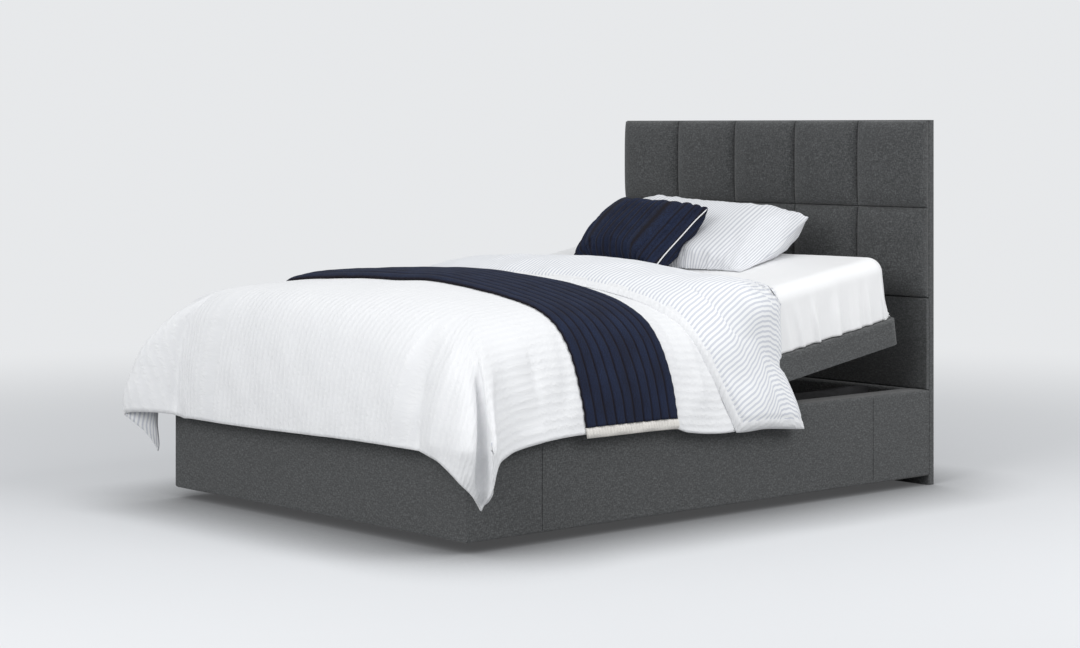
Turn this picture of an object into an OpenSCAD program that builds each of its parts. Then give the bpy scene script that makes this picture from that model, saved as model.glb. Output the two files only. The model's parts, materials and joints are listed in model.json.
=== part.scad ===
// Adjustable bed: an upholstered base box with a tall tiled headboard, a four-section deck that a
// twin drive raises at the back and at the legs, and the bedding that lies on it.
// Lengths run from the foot panel's face, along the bed, and are shifted once by foot_y, which
// puts the origin on the floor below the middle of the whole bed.

/* [Base box] */
// Width over the side panels
base_w = 1370; // [1000:10:1800]
// Length from the foot panel's face to the headboard
base_l = 1900; // [1850:10:2100]
// Height of the upholstered panels
panel_h = 270; // [250:5:320]
// Gap between the panels and the floor
floor_gap = 30; // [24:1:60]
// Thickness of the side and foot panels
panel_t = 82; // [60:1:100]
// Thickness of the panel at the head end
head_panel_t = 28; // [18:1:40]
// Edge radius of the upholstered panels
panel_r = 9; // [4:1:14]
// Distance of each sewn seam from the end of a side panel
seam_inset = 268; // [200:1:320]
// Width and depth of a sewn seam's groove
seam_w = 3; // [2:0.5:5]

/* [Inner frame] */
// Thickness of the boards inside the base
board_t = 28; // [18:1:32]
// Distance of the inner rails' inner faces from the outside of the base
rail_inset = 255; // [225:5:285]
// Gap between the inner rails' top and the deck
rail_drop = 4; // [3:0.5:10]
// Width of a cross rail
cross_rail_w = 90; // [60:1:120]
// Distance of the outer cross rails from the ends of the base
cross_rail_inset = 220; // [150:10:300]
// Distance of the middle cross rail behind the back hinge
middle_rail_step = 140; // [100:5:200]
// Distance of the outer feet from the sides of the base
foot_inset = 165; // [110:5:250]
// Radius of a glide foot
foot_r = 22; // [15:1:35]
// Side of a corner block
block_w = 60; // [40:1:80]
// Thickness of the dust cover
dust_t = 2; // [1:0.5:3]
// Inset of the dust cover from the outer faces
dust_inset = 30; // [10:1:60]

/* [Headboard] */
// Height of the headboard above the floor
headboard_h = 1147; // [900:5:1400]
// Thickness of the headboard's board
headboard_t = 27; // [20:1:40]
// Radius of the headboard's upright edges
headboard_r = 6; // [2:1:12]
// Number of padded tiles in a row
tile_columns = 5; // [3:1:7]
// Height of the seam under the upper row of tiles
tile_seam_upper = 871; // [800:1:900]
// Height of the seam under the lower row of tiles
tile_seam_lower = 588; // [520:1:640]
// Thickness of a padded tile
tile_t = 35; // [20:1:50]
// Gap between neighbouring tiles at the seam
tile_gap = 3; // [2:0.5:8]
// Thickness of a tile's sewn edge
tile_edge_t = 7; // [4:1:12]
// Thickness of the plain lower panel
lower_panel_t = 12; // [8:1:20]

/* [Deck] */
// Thickness of a deck section over its cover
deck_t = 80; // [70:1:90]
// Thickness of the deck's cover
cover_t = 5; // [3:0.5:8]
// Gap between the deck and the rim of the base
deck_gap = 0.5; // [0.3:0.1:2]
// Length of the section under the calves
calf_l = 330; // [280:5:360]
// Length of the section under the thighs
thigh_l = 280; // [260:5:320]
// Length of the fixed seat section
seat_l = 200; // [180:5:260]
// Gap between the deck's head end and the headboard
deck_end_gap = 130; // [80:5:200]
// Gap between neighbouring deck sections
section_gap = 12; // [10:0.5:14]
// Edge radius of the deck's cover
deck_r = 12; // [6:1:20]
// Radius of the deck's corners seen from above
deck_corner_r = 40; // [10:5:80]
// Thickness of the boards that close a deck section
skin_t = 8; // [6:1:12]
// Width of the rim inside a deck section
deck_rim_w = 40; // [20:5:60]
// Angle of the back section as the bed stands, in degrees
back_rest = 9.2; // [0:0.1:20]

/* [Hinges] */
// Distance of a hinge's axis from the nearer deck face
hinge_inset = 7; // [6.5:0.1:9]
// Radius of a hinge pin
pin_r = 3; // [2:0.25:4]
// Radius of a hinge knuckle
knuckle_r = 5.5; // [4.5:0.1:5.8]
// Running clearance around a pin or a shaft
run_gap = 0.05; // [0.02:0.01:0.1]
// Width of a hinge
hinge_w = 90; // [60:1:140]
// Height of a hinge leaf below its axis
leaf_h = 45; // [30:1:60]
// Thickness of a hinge leaf
leaf_t = 2.5; // [1.5:0.1:3]
// Distance of the outer hinges from the sides of the base
hinge_side_inset = 205; // [120:5:300]
// Gap between neighbouring knuckles
knuckle_gap = 0.5; // [0.3:0.1:1]

/* [Lifting gear] */
// Distance of a lifting shaft from its hinge, along the bed
shaft_ahead = 120; // [90:5:130]
// Depth of a lifting shaft below its hinge
shaft_depth = 180; // [170:1:190]
// Radius of a lifting shaft
shaft_r = 17; // [14:0.5:20]
// Wall thickness of a lifting shaft
shaft_wall = 3; // [2:0.5:5]
// Reach of the back's lifting arms along the bed
back_reach = 400; // [300:5:500]
// Reach of the legs' lifting arms along the bed
leg_reach = 200; // [150:5:230]
// Drop of a lifting arm's end below its shaft
arm_drop = 100; // [90:1:108]
// Distance of the lifting arms from the inner rails
arm_inset = 174; // [140:2:220]
// Thickness of arms, links and brackets
plate_t = 8; // [5:0.5:10]
// Gap between plates that swing past each other
plate_gap = 2; // [1:0.5:4]
// Radius of the studs that join arms and links
stud_r = 8; // [5:0.5:10]
// Radius of the eye at the end of an arm or a link
eye_r = 15; // [13:0.5:18]
// Distance of the calf links from the inner rails
calf_link_inset = 104; // [90:2:130]
// Depth of a calf link's pivots below the deck's hinges
calf_link_depth = 90; // [84:1:110]
// Thickness of a shaft bearing
bearing_t = 24; // [15:1:40]
// Side of a shaft bearing
bearing_w = 70; // [56:1:90]

/* [Drive] */
// Length of a shaft's inner lever
lever_l = 60; // [50:1:64]
// Radius of the lever's rounded end
lever_end_r = 9; // [6:0.5:11]
// Thickness of a lever
lever_t = 14; // [8:1:20]
// Turn of the back's lever short of upright when the back is flat, in degrees
back_lever_lead = 30; // [25:1:35]
// Turn of the legs' lever short of upright when the legs are flat, in degrees
leg_lever_lead = 15; // [10:1:20]
// Gap between a pusher and its lever
push_gap = 0.8; // [0.7:0.1:1.2]
// Width of the drive housing
drive_w = 88; // [76:1:110]
// Wall thickness of the drive housing
drive_wall = 4; // [3:0.5:6]
// Radius of a drive screw
screw_r = 6; // [4:0.5:7]
// Gap between a drive screw and the lever above it
screw_gap = 6; // [4:0.5:10]
// Length of a pusher's nut
nut_l = 46; // [36:1:60]
// Radius of a drive motor
motor_r = 26; // [20:1:27]
// Length of a drive motor
motor_l = 120; // [80:5:140]

/* [Mattress] */
// Thickness of the mattress
mattress_t = 195; // [150:5:260]
// Inset of the mattress from the deck's edge
mattress_inset = 15; // [8:1:30]
// Edge radius of the mattress
mattress_r = 30; // [15:1:50]
// Corner radius of the mattress seen from above
mattress_corner_r = 60; // [30:5:120]
// Radius that the duvet presses into the mattress's shoulders
mattress_soft_r = 190; // [100:5:190]
// Depth by which the duvet presses the mattress's foot corners down
corner_press = 16; // [0:1:30]
// Corner radius of the mattress under the duvet seen from above
mattress_soft_corner_r = 180; // [100:5:200]
// Inset of the mattress's sides from the deck's edge under the duvet
mattress_soft_inset = 30; // [15:1:40]
// Thickness of the fitted sheet
sheet_t = 1.5; // [1:0.1:3]
// Distance of the fitted sheet's hidden edge from the headboard's tiles
sheet_reach = 640; // [560:10:700]

/* [Duvet] */
// Thickness of the duvet on top of the mattress
duvet_t = 42; // [25:1:60]
// Thickness of the duvet where it hangs
duvet_side_t = 12; // [10:1:16]
// Thickness of the duvet's sewn hem
duvet_hem_t = 9; // [6:1:15]
// Height of the duvet's swell along the middle
duvet_crown = 52; // [20:1:70]
// Width over which the duvet's side turns down
duvet_edge_w = 315; // [250:5:340]
// Length over which the duvet's foot end turns down
duvet_edge_l = 290; // [240:5:310]
// Height of the duvet's turn
duvet_edge_h = 400; // [380:5:420]
// Distance that the duvet's hem stands out from the sides of the base
duvet_side_out = 67; // [55:1:75]
// Distance that the duvet's hem stands out from the foot panel
duvet_foot_out = 50; // [40:1:60]
// Height of the duvet's hem above the floor
duvet_hem_h = 256; // [220:1:290]
// Extra fall of the duvet where it is turned back
turned_fall = 95; // [0:1:110]
// Distance of the turned-back edge from the foot panel's face
duvet_end = 1275; // [1200:5:1300]
// Width of the turned-back part
turned_w = 370; // [300:5:400]
// Extra thickness of the turned-back part
turned_t = 52; // [20:1:60]
// Depth by which the head end lies lower than the duvet's middle
head_dip = 28; // [20:1:60]
// Furthest reach of a hanging corner from the bed's middle
ear_x = 776; // [760:1:790]
// Furthest reach of a hanging corner past the foot panel's face
ear_s = 96; // [70:1:105]

/* [Throw] */
// Distance of the throw's near edge from the foot panel's face
throw_start = 400; // [360:5:440]
// Width of the throw
throw_w = 350; // [250:5:380]
// Thickness of the throw between its pleats
throw_t = 5; // [4:0.5:8]
// Height of a pleat
pleat_h = 5; // [2:0.5:8]
// Number of pleats across the throw
pleats = 10; // [6:1:14]
// Height of the throw's ends above the floor
throw_hem_h = 250; // [220:1:290]

/* [Pillows] */
// Width of the pillow
pillow_w = 760; // [600:10:800]
// Depth of the pillow
pillow_l = 390; // [350:10:450]
// Thickness of the pillow
pillow_t = 140; // [120:5:200]
// Width of the pleated cushion
cushion_w = 490; // [400:10:520]
// Height of the pleated cushion
cushion_l = 300; // [250:10:320]
// Thickness of the pleated cushion
cushion_t = 100; // [80:5:130]
// Number of sewn channels across the cushion
cushion_channels = 13; // [8:1:16]

/* [Hidden] */
$fn = 48;

// One overrun for every cut
cut = 20;
// Gap between soft pieces that lie on each other
soft_gap = 0.6;

// Outer faces and levels
half_w = base_w / 2;
rail_x = half_w - rail_inset;
foot_x = half_w - foot_inset;
hinge_x = half_w - hinge_side_inset;
arm_x = rail_x - arm_inset;
calf_link_x = rail_x - calf_link_inset;

rim_z = floor_gap + panel_h;
deck_z = rim_z + deck_gap;
deck_top = deck_z + deck_t;
axis_z = deck_top - hinge_inset;
knee_z = deck_z + hinge_inset;

// Places of the hinges along the bed
knee_y = calf_l;
thigh_y = knee_y + thigh_l;
back_y = thigh_y + seat_l;
cross_rail_places = [cross_rail_inset, back_y + middle_rail_step, base_l - cross_rail_inset];
deck_end = base_l - deck_end_gap;

// Places of the lifting shafts
back_shaft = [back_y + shaft_ahead, axis_z - shaft_depth];
leg_shaft = [thigh_y - shaft_ahead, axis_z - shaft_depth];
leg_pivot = [thigh_y, axis_z];
back_pivot = [back_y, axis_z];
back_arm = turned([back_reach, -arm_drop], back_rest);
leg_arm = [-leg_reach, -arm_drop];

// Duvet's inner surface, clear of deck, mattress and sheet
mattress_top = deck_top + mattress_t;
bed_top = mattress_top + sheet_t + soft_gap;
duvet_top = bed_top + duvet_t + duvet_crown;

// Colours of the pieces
fabric_grey = [0.30, 0.31, 0.32];
board_dark = [0.14, 0.14, 0.15];
wood_pale = [0.72, 0.60, 0.45];
steel_grey = [0.55, 0.57, 0.60];
plastic_black = [0.08, 0.08, 0.09];
linen_white = [0.93, 0.94, 0.96];
stripe_grey = [0.80, 0.82, 0.85];
navy = [0.08, 0.11, 0.19];

// A vector of the bed's length and height, turned so that its head side rises
function turned(p, a) = [p[0] * cos(a) - p[1] * sin(a), p[0] * sin(a) + p[1] * cos(a)];

module from_foot() {
    translate([0, foot_y, 0])
        children();
}

// What belongs to the back section is drawn flat and raised to its resting angle
module on_back() {
    from_foot()
        translate([0, back_y, axis_z])
            rotate([back_rest, 0, 0])
                translate([0, -back_y, -axis_z])
                    children();
}

module both_sides() {
    for (side = [0, 1])
        mirror([side, 0, 0])
            children();
}

// A round bar along the bed's width, from x0 to x1, centred on p
module cross_bar(x0, x1, p, r) {
    translate([x0, p[0], p[1]])
        rotate([0, 90, 0])
            cylinder(h = x1 - x0, r = r);
}

// An outline of length and height, made t thick from x onward
module plate(x, t) {
    translate([x, 0, 0])
        rotate([90, 0, 90])
            linear_extrude(t)
                children();
}

// A flat bar with round ends around two points, a little narrower between them
strap_share = 0.96;
module strap(p, q, r0, r1) {
    d = (q - p) / norm(q - p);
    n = [-d[1], d[0]] * strap_share;
    translate(p)
        circle(r0);
    translate(q)
        circle(r1);
    polygon([p + n * r0, q + n * r1, q - n * r1, p - n * r0]);
}

// A rectangle with round corners whose low corner is at the origin
module round_rect(w, h, r) {
    translate([r, 0])
        square([w - 2 * r, h]);
    translate([0, r])
        square([w, h - 2 * r]);
    for (x = [r, w - r], y = [r, h - r])
        translate([x, y])
            circle(r);
}

// A length of upholstered board, w wide and h high, with round edges along the bed
module padded_length(x, y0, y1, z, w, h, r) {
    translate([x, y1, z])
        rotate([90, 0, 0])
            linear_extrude(y1 - y0)
                round_rect(w, h, r);
}

// The upright wall of one plan outline
module upright(z, h) {
    translate([0, 0, z])
        linear_extrude(h)
            children();
}

/* Base box */

module side_panel() {
    difference() {
        intersection() {
            padded_length(half_w - panel_t, 0, base_l, floor_gap, panel_t, panel_h, panel_r);
            upright(floor_gap - cut, panel_h + 2 * cut)
                polygon([[half_w - panel_t, panel_t], [half_w, 0], [half_w + cut, -cut],
                    [half_w + cut, base_l + cut], [half_w - panel_t, base_l + cut]]);
        }
        for (y = [seam_inset, base_l - seam_inset])
            translate([half_w - seam_w / 2, y - seam_w / 2, floor_gap - cut])
                cube([cut, seam_w, panel_h + 2 * cut]);
    }
}

module side_panel_left() {
    color(fabric_grey)
        from_foot()
            mirror([1, 0, 0])
                side_panel();
}

module side_panel_right() {
    color(fabric_grey)
        from_foot()
            side_panel();
}

module foot_panel() {
    color(fabric_grey)
        from_foot()
            intersection() {
                translate([-half_w, 0, floor_gap])
                    rotate([90, 0, 90])
                        linear_extrude(base_w)
                            round_rect(panel_t, panel_h, panel_r);
                upright(floor_gap - cut, panel_h + 2 * cut)
                    polygon([[-half_w, 0], [-half_w, -cut], [half_w, -cut], [half_w, 0],
                        [half_w - panel_t, panel_t], [panel_t - half_w, panel_t]]);
            }
}

inner_w = base_w - 2 * panel_t;
inner_l = base_l - panel_t - head_panel_t;

module head_panel() {
    color(fabric_grey)
        from_foot()
            translate([-inner_w / 2, base_l - head_panel_t, floor_gap])
                rotate([90, 0, 90])
                    linear_extrude(inner_w)
                        round_rect(head_panel_t, panel_h, panel_r);
}

block_h = panel_h - 2 * block_w;

module corner_blocks() {
    color(wood_pale)
        from_foot()
            both_sides()
                for (y = [panel_t, base_l - head_panel_t - block_w])
                    translate([inner_w / 2 - block_w, y, floor_gap + block_w])
                        cube([block_w, block_w, block_h]);
}

module cross_rails() {
    color(wood_pale)
        from_foot()
            for (y = cross_rail_places)
                translate([-inner_w / 2, y - cross_rail_w / 2, floor_gap])
                    cube([inner_w, cross_rail_w, board_t]);
}

rail_z = floor_gap + board_t;
rail_h = deck_z - rail_drop - rail_z;

module inner_rails() {
    color(board_dark)
        from_foot()
            both_sides()
                translate([rail_x, panel_t, rail_z])
                    cube([board_t, inner_l, rail_h]);
}

module dust_cover() {
    color(plastic_black)
        from_foot()
            translate([dust_inset - half_w, dust_inset, floor_gap - dust_t])
                cube([base_w - 2 * dust_inset, base_l - 2 * dust_inset, dust_t]);
}

foot_pad_share = 0.35;
foot_neck_share = 0.6;
foot_h = floor_gap - dust_t;

module glide_feet() {
    color(plastic_black)
        from_foot()
            for (x = [-foot_x, 0, foot_x], y = cross_rail_places)
                translate([x, y, 0]) {
                    cylinder(h = foot_h * foot_pad_share, r = foot_r);
                    cylinder(h = foot_h, r = foot_r * foot_neck_share);
                }
}

/* Headboard */

module headboard_board() {
    color(fabric_grey)
        from_foot()
            translate([-half_w, base_l, 0])
                linear_extrude(headboard_h)
                    round_rect(base_w, headboard_t, headboard_r);
}

panel_gap = 2;

module headboard_lower_panel() {
    color(fabric_grey)
        from_foot()
            translate([-half_w, base_l - lower_panel_t, rim_z + panel_gap])
                rotate([90, 0, 90])
                    linear_extrude(base_w)
                        round_rect(lower_panel_t, tile_seam_lower - rim_z - 2 * panel_gap,
                            lower_panel_t / 2 - panel_gap);
}

// A soft sheet or pad as two grids of points, front and back, joined round the rim
function rim_faces(m, n, k) = concat(
    [for (j = [0 : n - 1]) each
        [[j, j + 1, j + 1 + k], [j, j + 1 + k, j + k]]],
    [for (j = [0 : n - 1]) let (b = m * (n + 1)) each
        [[b + j + 1, b + j, b + j + k], [b + j + 1, b + j + k, b + j + 1 + k]]],
    [for (i = [0 : m - 1]) let (p = i * (n + 1), q = p + n + 1) each
        [[q, p, p + k], [q, p + k, q + k]]],
    [for (i = [0 : m - 1]) let (p = i * (n + 1) + n, q = p + n + 1) each
        [[p, q, q + k], [p, q + k, p + k]]]);

function grid_faces(m, n, k) = concat(
    [for (i = [0 : m - 1], j = [0 : n - 1]) let (p = i * (n + 1) + j, q = p + n + 1) each
        [[p, q, q + 1], [p, q + 1, p + 1]]],
    [for (i = [0 : m - 1], j = [0 : n - 1]) let (p = k + i * (n + 1) + j, q = p + n + 1) each
        [[p, q + 1, q], [p, p + 1, q + 1]]],
    rim_faces(m, n, k));

module soft_form(front, back, m, n) {
    polyhedron(concat(front, back), grid_faces(m, n, (m + 1) * (n + 1)));
}

// Swell of a sewn pad from 0 at its seam to 1 in its middle
swell_share = 0.42;
function swell(a, b, p) = pow((1 - pow(abs(a), p)) * (1 - pow(abs(b), p)), swell_share);

tile_pitch = base_w / tile_columns;
tile_steps_share = [-1, -0.93, -0.72, -0.3, 0.3, 0.72, 0.93, 1];
tile_power = 5;
tile_bow_share = 0.006;

// A tile seen from its front: x across, z up, and its swell towards the foot
function tile_point(a, b, w, h, t) = [
    w / 2 * a * (1 - tile_bow_share * b * b),
    -t,
    h / 2 * b * (1 - tile_bow_share * a * a)];

module tile(w, h) {
    n = len(tile_steps_share) - 1;
    front = [for (b = tile_steps_share, a = tile_steps_share)
        tile_point(a, b, w, h, tile_edge_t + (tile_t - tile_edge_t) * swell(a, b, tile_power))];
    back = [for (b = tile_steps_share, a = tile_steps_share) tile_point(a, b, w, h, 0)];
    soft_form(front, back, n, n);
}

module headboard_tiles() {
    color(fabric_grey)
        from_foot()
            for (row = [[tile_seam_upper, headboard_h], [tile_seam_lower, tile_seam_upper]],
                i = [0 : tile_columns - 1])
                translate([(i + 1 / 2) * tile_pitch - half_w, base_l, (row[0] + row[1]) / 2])
                    tile(tile_pitch - tile_gap, row[1] - row[0] - tile_gap);
}

bolt_head_r = 12;
bolt_head_t = 4;
bolt_x = 300;
bolt_level_share = 0.6;

// Bolts that hold the headboard against the base, with their heads inside the base
module headboard_bolts() {
    color(steel_grey)
        from_foot()
            both_sides()
                translate([bolt_x, base_l - head_panel_t, floor_gap + panel_h * bolt_level_share])
                    rotate([90, 0, 0])
                        cylinder(h = bolt_head_t, r = bolt_head_r);
}

/* Deck */

// A deck section seen from above, with round corners at its free end: -1 at the foot, 1 at the
// head, 0 for none
module deck_outline(w, y0, y1, free, r) {
    lo = free < 0 ? y0 + r : y0;
    hi = free > 0 ? y1 - r : y1;
    translate([-w / 2, lo])
        square([w, hi - lo]);
    if (free != 0) {
        translate([r - w / 2, y0])
            square([w - 2 * r, y1 - y0]);
        for (side = [-1, 1])
            translate([side * (w / 2 - r), free < 0 ? lo : hi])
                circle(r);
    }
}

core_w = base_w - 2 * cover_t;
core_h = deck_t - cover_t;
core_r = deck_corner_r - cover_t;

// A closed hollow box of boards
module deck_core(y0, y1, free) {
    lo = free < 0 ? y0 + cover_t : y0;
    hi = free > 0 ? y1 - cover_t : y1;
    color(wood_pale)
        difference() {
            upright(deck_z, core_h)
                deck_outline(core_w, lo, hi, free, core_r);
            translate([deck_rim_w - core_w / 2, lo + deck_rim_w, deck_z + skin_t])
                cube([core_w - 2 * deck_rim_w, hi - lo - 2 * deck_rim_w, core_h - 2 * skin_t]);
        }
}

// A board's end view with its two upper edges round
module top_round(w, h, r) {
    square([w, h - r]);
    translate([r, 0])
        square([w - 2 * r, h]);
    for (x = [r, w - r])
        translate([x, h - r])
            circle(r);
}

// The cover over a core's top, sides and free end
module deck_cover(y0, y1, free) {
    lo = free < 0 ? y0 + cover_t : y0 - cut;
    hi = free > 0 ? y1 - cover_t : y1 + cut;
    color(fabric_grey)
        difference() {
            intersection() {
                translate([-half_w, y1, deck_z])
                    rotate([90, 0, 0])
                        linear_extrude(y1 - y0)
                            top_round(base_w, deck_t, deck_r);
                upright(deck_z - cut, deck_t + 2 * cut)
                    deck_outline(base_w, y0, y1, free, deck_corner_r);
            }
            upright(deck_z - cut, core_h + cut)
                deck_outline(core_w, lo, hi, free, core_r);
        }
}

half_gap = section_gap / 2;

module seat_core() {
    from_foot()
        deck_core(thigh_y + half_gap, back_y - half_gap, 0);
}

module seat_cover() {
    from_foot()
        deck_cover(thigh_y + half_gap, back_y - half_gap, 0);
}

module back_core() {
    on_back()
        deck_core(back_y + half_gap, deck_end, 1);
}

module back_cover() {
    on_back()
        deck_cover(back_y + half_gap, deck_end, 1);
}

module thigh_core() {
    from_foot()
        deck_core(knee_y + half_gap, thigh_y - half_gap, 0);
}

module thigh_cover() {
    from_foot()
        deck_cover(knee_y + half_gap, thigh_y - half_gap, 0);
}

module calf_core() {
    from_foot()
        deck_core(0, knee_y - half_gap, -1);
}

module calf_cover() {
    from_foot()
        deck_cover(0, knee_y - half_gap, -1);
}

/* Hinges */

// One half of each hinge on an axis. dir is the side of the leaf along the bed and up is the
// side of the leaf above or below the axis. own_middle gives the middle knuckle, else the ends.
module leaves(y, z, dir, up, own_middle) {
    third = hinge_w / 3;
    face = dir * half_gap;
    lo = min(face, face - dir * leaf_t);
    top = knuckle_r + knuckle_gap;
    color(steel_grey)
        for (x = [-hinge_x, 0, hinge_x])
            translate([x - hinge_w / 2, y, z])
                difference() {
                    union() {
                        translate([0, lo, min(up * top, up * leaf_h)])
                            cube([hinge_w, leaf_t, leaf_h - top]);
                        for (k = own_middle ? [1] : [0, 2])
                            translate([k * third + (k > 0 ? knuckle_gap : 0), 0, 0]) {
                                w = third - (k > 0 ? knuckle_gap : 0) - (k < 2 ? knuckle_gap : 0);
                                translate([0, lo, min(0, up * (top + leaf_t))])
                                    cube([w, leaf_t, top + leaf_t]);
                                cross_bar(0, w, [0, 0], knuckle_r);
                            }
                    }
                    cross_bar(-cut, hinge_w + cut, [0, 0], pin_r + run_gap);
                }
}

module pins(y, z) {
    color(steel_grey)
        for (x = [-hinge_x, 0, hinge_x])
            cross_bar(x - hinge_w / 2, x + hinge_w / 2, [y, z], pin_r);
}

module seat_hinge_leaves() {
    from_foot() {
        leaves(thigh_y, axis_z, 1, -1, false);
        leaves(back_y, axis_z, -1, -1, false);
    }
}

module seat_hinge_pins() {
    from_foot() {
        pins(thigh_y, axis_z);
        pins(back_y, axis_z);
    }
}

module back_hinge_leaves() {
    on_back()
        leaves(back_y, axis_z, 1, -1, true);
}

module thigh_hinge_leaves() {
    from_foot() {
        leaves(thigh_y, axis_z, -1, -1, true);
        leaves(knee_y, knee_z, 1, 1, false);
    }
}

module knee_hinge_pins() {
    from_foot()
        pins(knee_y, knee_z);
}

module calf_hinge_leaves() {
    from_foot()
        leaves(knee_y, knee_z, -1, 1, true);
}

/* Lifting gear */

bearing_x = rail_x - bearing_t;

module shaft_bearings() {
    color(plastic_black)
        from_foot()
            both_sides()
                for (p = [back_shaft, leg_shaft])
                    difference() {
                        translate([bearing_x, p[0] - bearing_w / 2, p[1] - bearing_w / 2])
                            cube([bearing_t, bearing_w, bearing_w]);
                        cross_bar(bearing_x - cut, rail_x + cut, p, shaft_r + run_gap);
                    }
}

// A tube across the bed with the lever that a pusher moves
module lift_shaft(p, lever_tip) {
    color(steel_grey)
        difference() {
            union() {
                cross_bar(plate_gap - rail_x, rail_x - plate_gap, p, shaft_r);
                plate(-lever_t / 2, lever_t)
                    strap(p, p + lever_tip, shaft_r + shaft_wall, lever_end_r);
            }
            cross_bar(-rail_x, rail_x, p, shaft_r - shaft_wall);
        }
}

back_lever_turn = back_rest - back_lever_lead;
back_tip = lever_l * [sin(back_lever_turn), -cos(back_lever_turn)];
leg_tip = lever_l * [sin(leg_lever_lead), -cos(leg_lever_lead)];

module back_lift_shaft() {
    from_foot()
        lift_shaft(back_shaft, back_tip);
}

module leg_lift_shaft() {
    from_foot()
        lift_shaft(leg_shaft, leg_tip);
}

hub_r = shaft_r + eye_r - plate_t;
link_x = arm_x + plate_t + plate_gap;
stud_l = plate_t + 2 * plate_gap;

// Arms on a shaft, each with a stud for its link
module lift_arms(p, arm) {
    color(steel_grey)
        both_sides() {
            difference() {
                plate(arm_x, plate_t)
                    strap(p, p + arm, hub_r, eye_r);
                cross_bar(arm_x - cut, arm_x + plate_t + cut, p, shaft_r + run_gap);
            }
            cross_bar(arm_x + plate_t, arm_x + plate_t + stud_l, p + arm, stud_r);
        }
}

module back_lift_arms() {
    from_foot()
        lift_arms(back_shaft, back_arm);
}

module leg_lift_arms() {
    from_foot()
        lift_arms(leg_shaft, leg_arm);
}

// Bars with an eye at each end
module links(x, p, q, r) {
    color(steel_grey)
        both_sides()
            difference() {
                plate(x, plate_t)
                    strap(p, q, r, r);
                for (c = [p, q])
                    cross_bar(x - cut, x + plate_t + cut, c, stud_r + run_gap);
            }
}

module back_links() {
    from_foot()
        links(link_x, back_shaft + back_arm, back_pivot + back_arm, eye_r);
}

module leg_links() {
    from_foot()
        links(link_x, leg_shaft + leg_arm, leg_pivot + leg_arm, eye_r);
}

// Brackets under a deck section that carry the links' upper studs
module deck_brackets(p) {
    foot_half = 3 * eye_r;
    color(steel_grey)
        both_sides() {
            plate(arm_x, plate_t) {
                translate(p)
                    circle(eye_r);
                polygon([p + [-eye_r, 0], p + [eye_r, 0], [p[0] + foot_half, deck_z],
                    [p[0] - foot_half, deck_z]]);
            }
            translate([arm_x - foot_half, p[0] - foot_half, deck_z - plate_t / 2])
                cube([foot_half, 2 * foot_half, plate_t / 2]);
            cross_bar(arm_x + plate_t, arm_x + plate_t + stud_l, p, stud_r);
        }
}

module back_brackets() {
    on_back()
        deck_brackets([back_y + back_reach, axis_z - arm_drop]);
}

module thigh_brackets() {
    from_foot()
        deck_brackets(leg_pivot + leg_arm);
}

calf_link_top = [thigh_y, axis_z - calf_link_depth];
calf_link_end = [knee_y, knee_z - calf_link_depth];
calf_eye_r = eye_r - plate_gap;

module calf_links() {
    from_foot()
        links(calf_link_x, calf_link_top, calf_link_end, calf_eye_r);
}

// Brackets that hang from the calf section and hold the lower ends of the calf links
module calf_brackets() {
    x = calf_link_x + plate_t + plate_gap;
    p = calf_link_end;
    y1 = knee_y - section_gap;
    y0 = y1 - 4 * calf_eye_r;
    color(steel_grey)
        from_foot()
            both_sides() {
                plate(x, plate_t) {
                    translate(p)
                        circle(calf_eye_r);
                    polygon([[y0, deck_z], p + [-calf_eye_r, 0], p + [calf_eye_r, 0],
                        [y1, deck_z]]);
                }
                translate([x, y0, deck_z - plate_t / 2])
                    cube([4 * calf_eye_r, y1 - y0, plate_t / 2]);
                cross_bar(calf_link_x - plate_gap, x, p, stud_r);
            }
}

angle_t = 4;
angle_w = 40;
angle_l = 140;
stud_plate_t = 6;
stud_plate_w = 50;

// Angles that carry the fixed seat section on the inner rails, and the calf links' upper studs
module support_brackets() {
    y_mid = (thigh_y + back_y) / 2;
    x = rail_x + board_t;
    p = calf_link_top;
    color(steel_grey)
        from_foot()
            both_sides() {
                translate([x, y_mid - angle_l / 2, deck_z - angle_w])
                    cube([angle_t, angle_l, angle_w]);
                translate([x, y_mid - angle_l / 2, deck_z - angle_t])
                    cube([angle_w, angle_l, angle_t]);
                translate([rail_x - stud_plate_t, p[0] - stud_plate_w / 2, p[1] - stud_plate_w])
                    cube([stud_plate_t, stud_plate_w, stud_plate_w + stud_r]);
                cross_bar(calf_link_x - plate_gap, rail_x, p, stud_r);
            }
}

/* Drive */

screw_z = back_shaft[1] - lever_l - lever_end_r - screw_gap - screw_r;
drive_end = lever_l - drive_wall;
drive_y0 = leg_shaft[0] - drive_end;
drive_y1 = back_shaft[0] + drive_end;
drive_z0 = screw_z - 4 * screw_r;
drive_z1 = back_shaft[1] + shaft_r + 4 * shaft_wall;
drive_mid = (drive_y0 + drive_y1) / 2;
mid_wall = 40;

module drive_housing() {
    inner_h = drive_z1 - drive_z0 - 2 * drive_wall;
    half_l = drive_mid - drive_y0 - drive_wall - mid_wall / 2;
    color(plastic_black)
        from_foot()
            difference() {
                translate([-drive_w / 2, drive_y0, drive_z0])
                    cube([drive_w, drive_y1 - drive_y0, drive_z1 - drive_z0]);
                for (y = [drive_y0 + drive_wall, drive_mid + mid_wall / 2])
                    translate([drive_wall - drive_w / 2, y, drive_z0 + drive_wall])
                        cube([drive_w - 2 * drive_wall, half_l, inner_h]);
                for (p = [back_shaft, leg_shaft])
                    cross_bar(-drive_w, drive_w, p, shaft_r + run_gap);
                translate([0, drive_mid - mid_wall / 2 - cut, screw_z])
                    rotate([-90, 0, 0])
                        cylinder(h = mid_wall + 2 * cut, r = screw_r + run_gap);
            }
}

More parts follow.
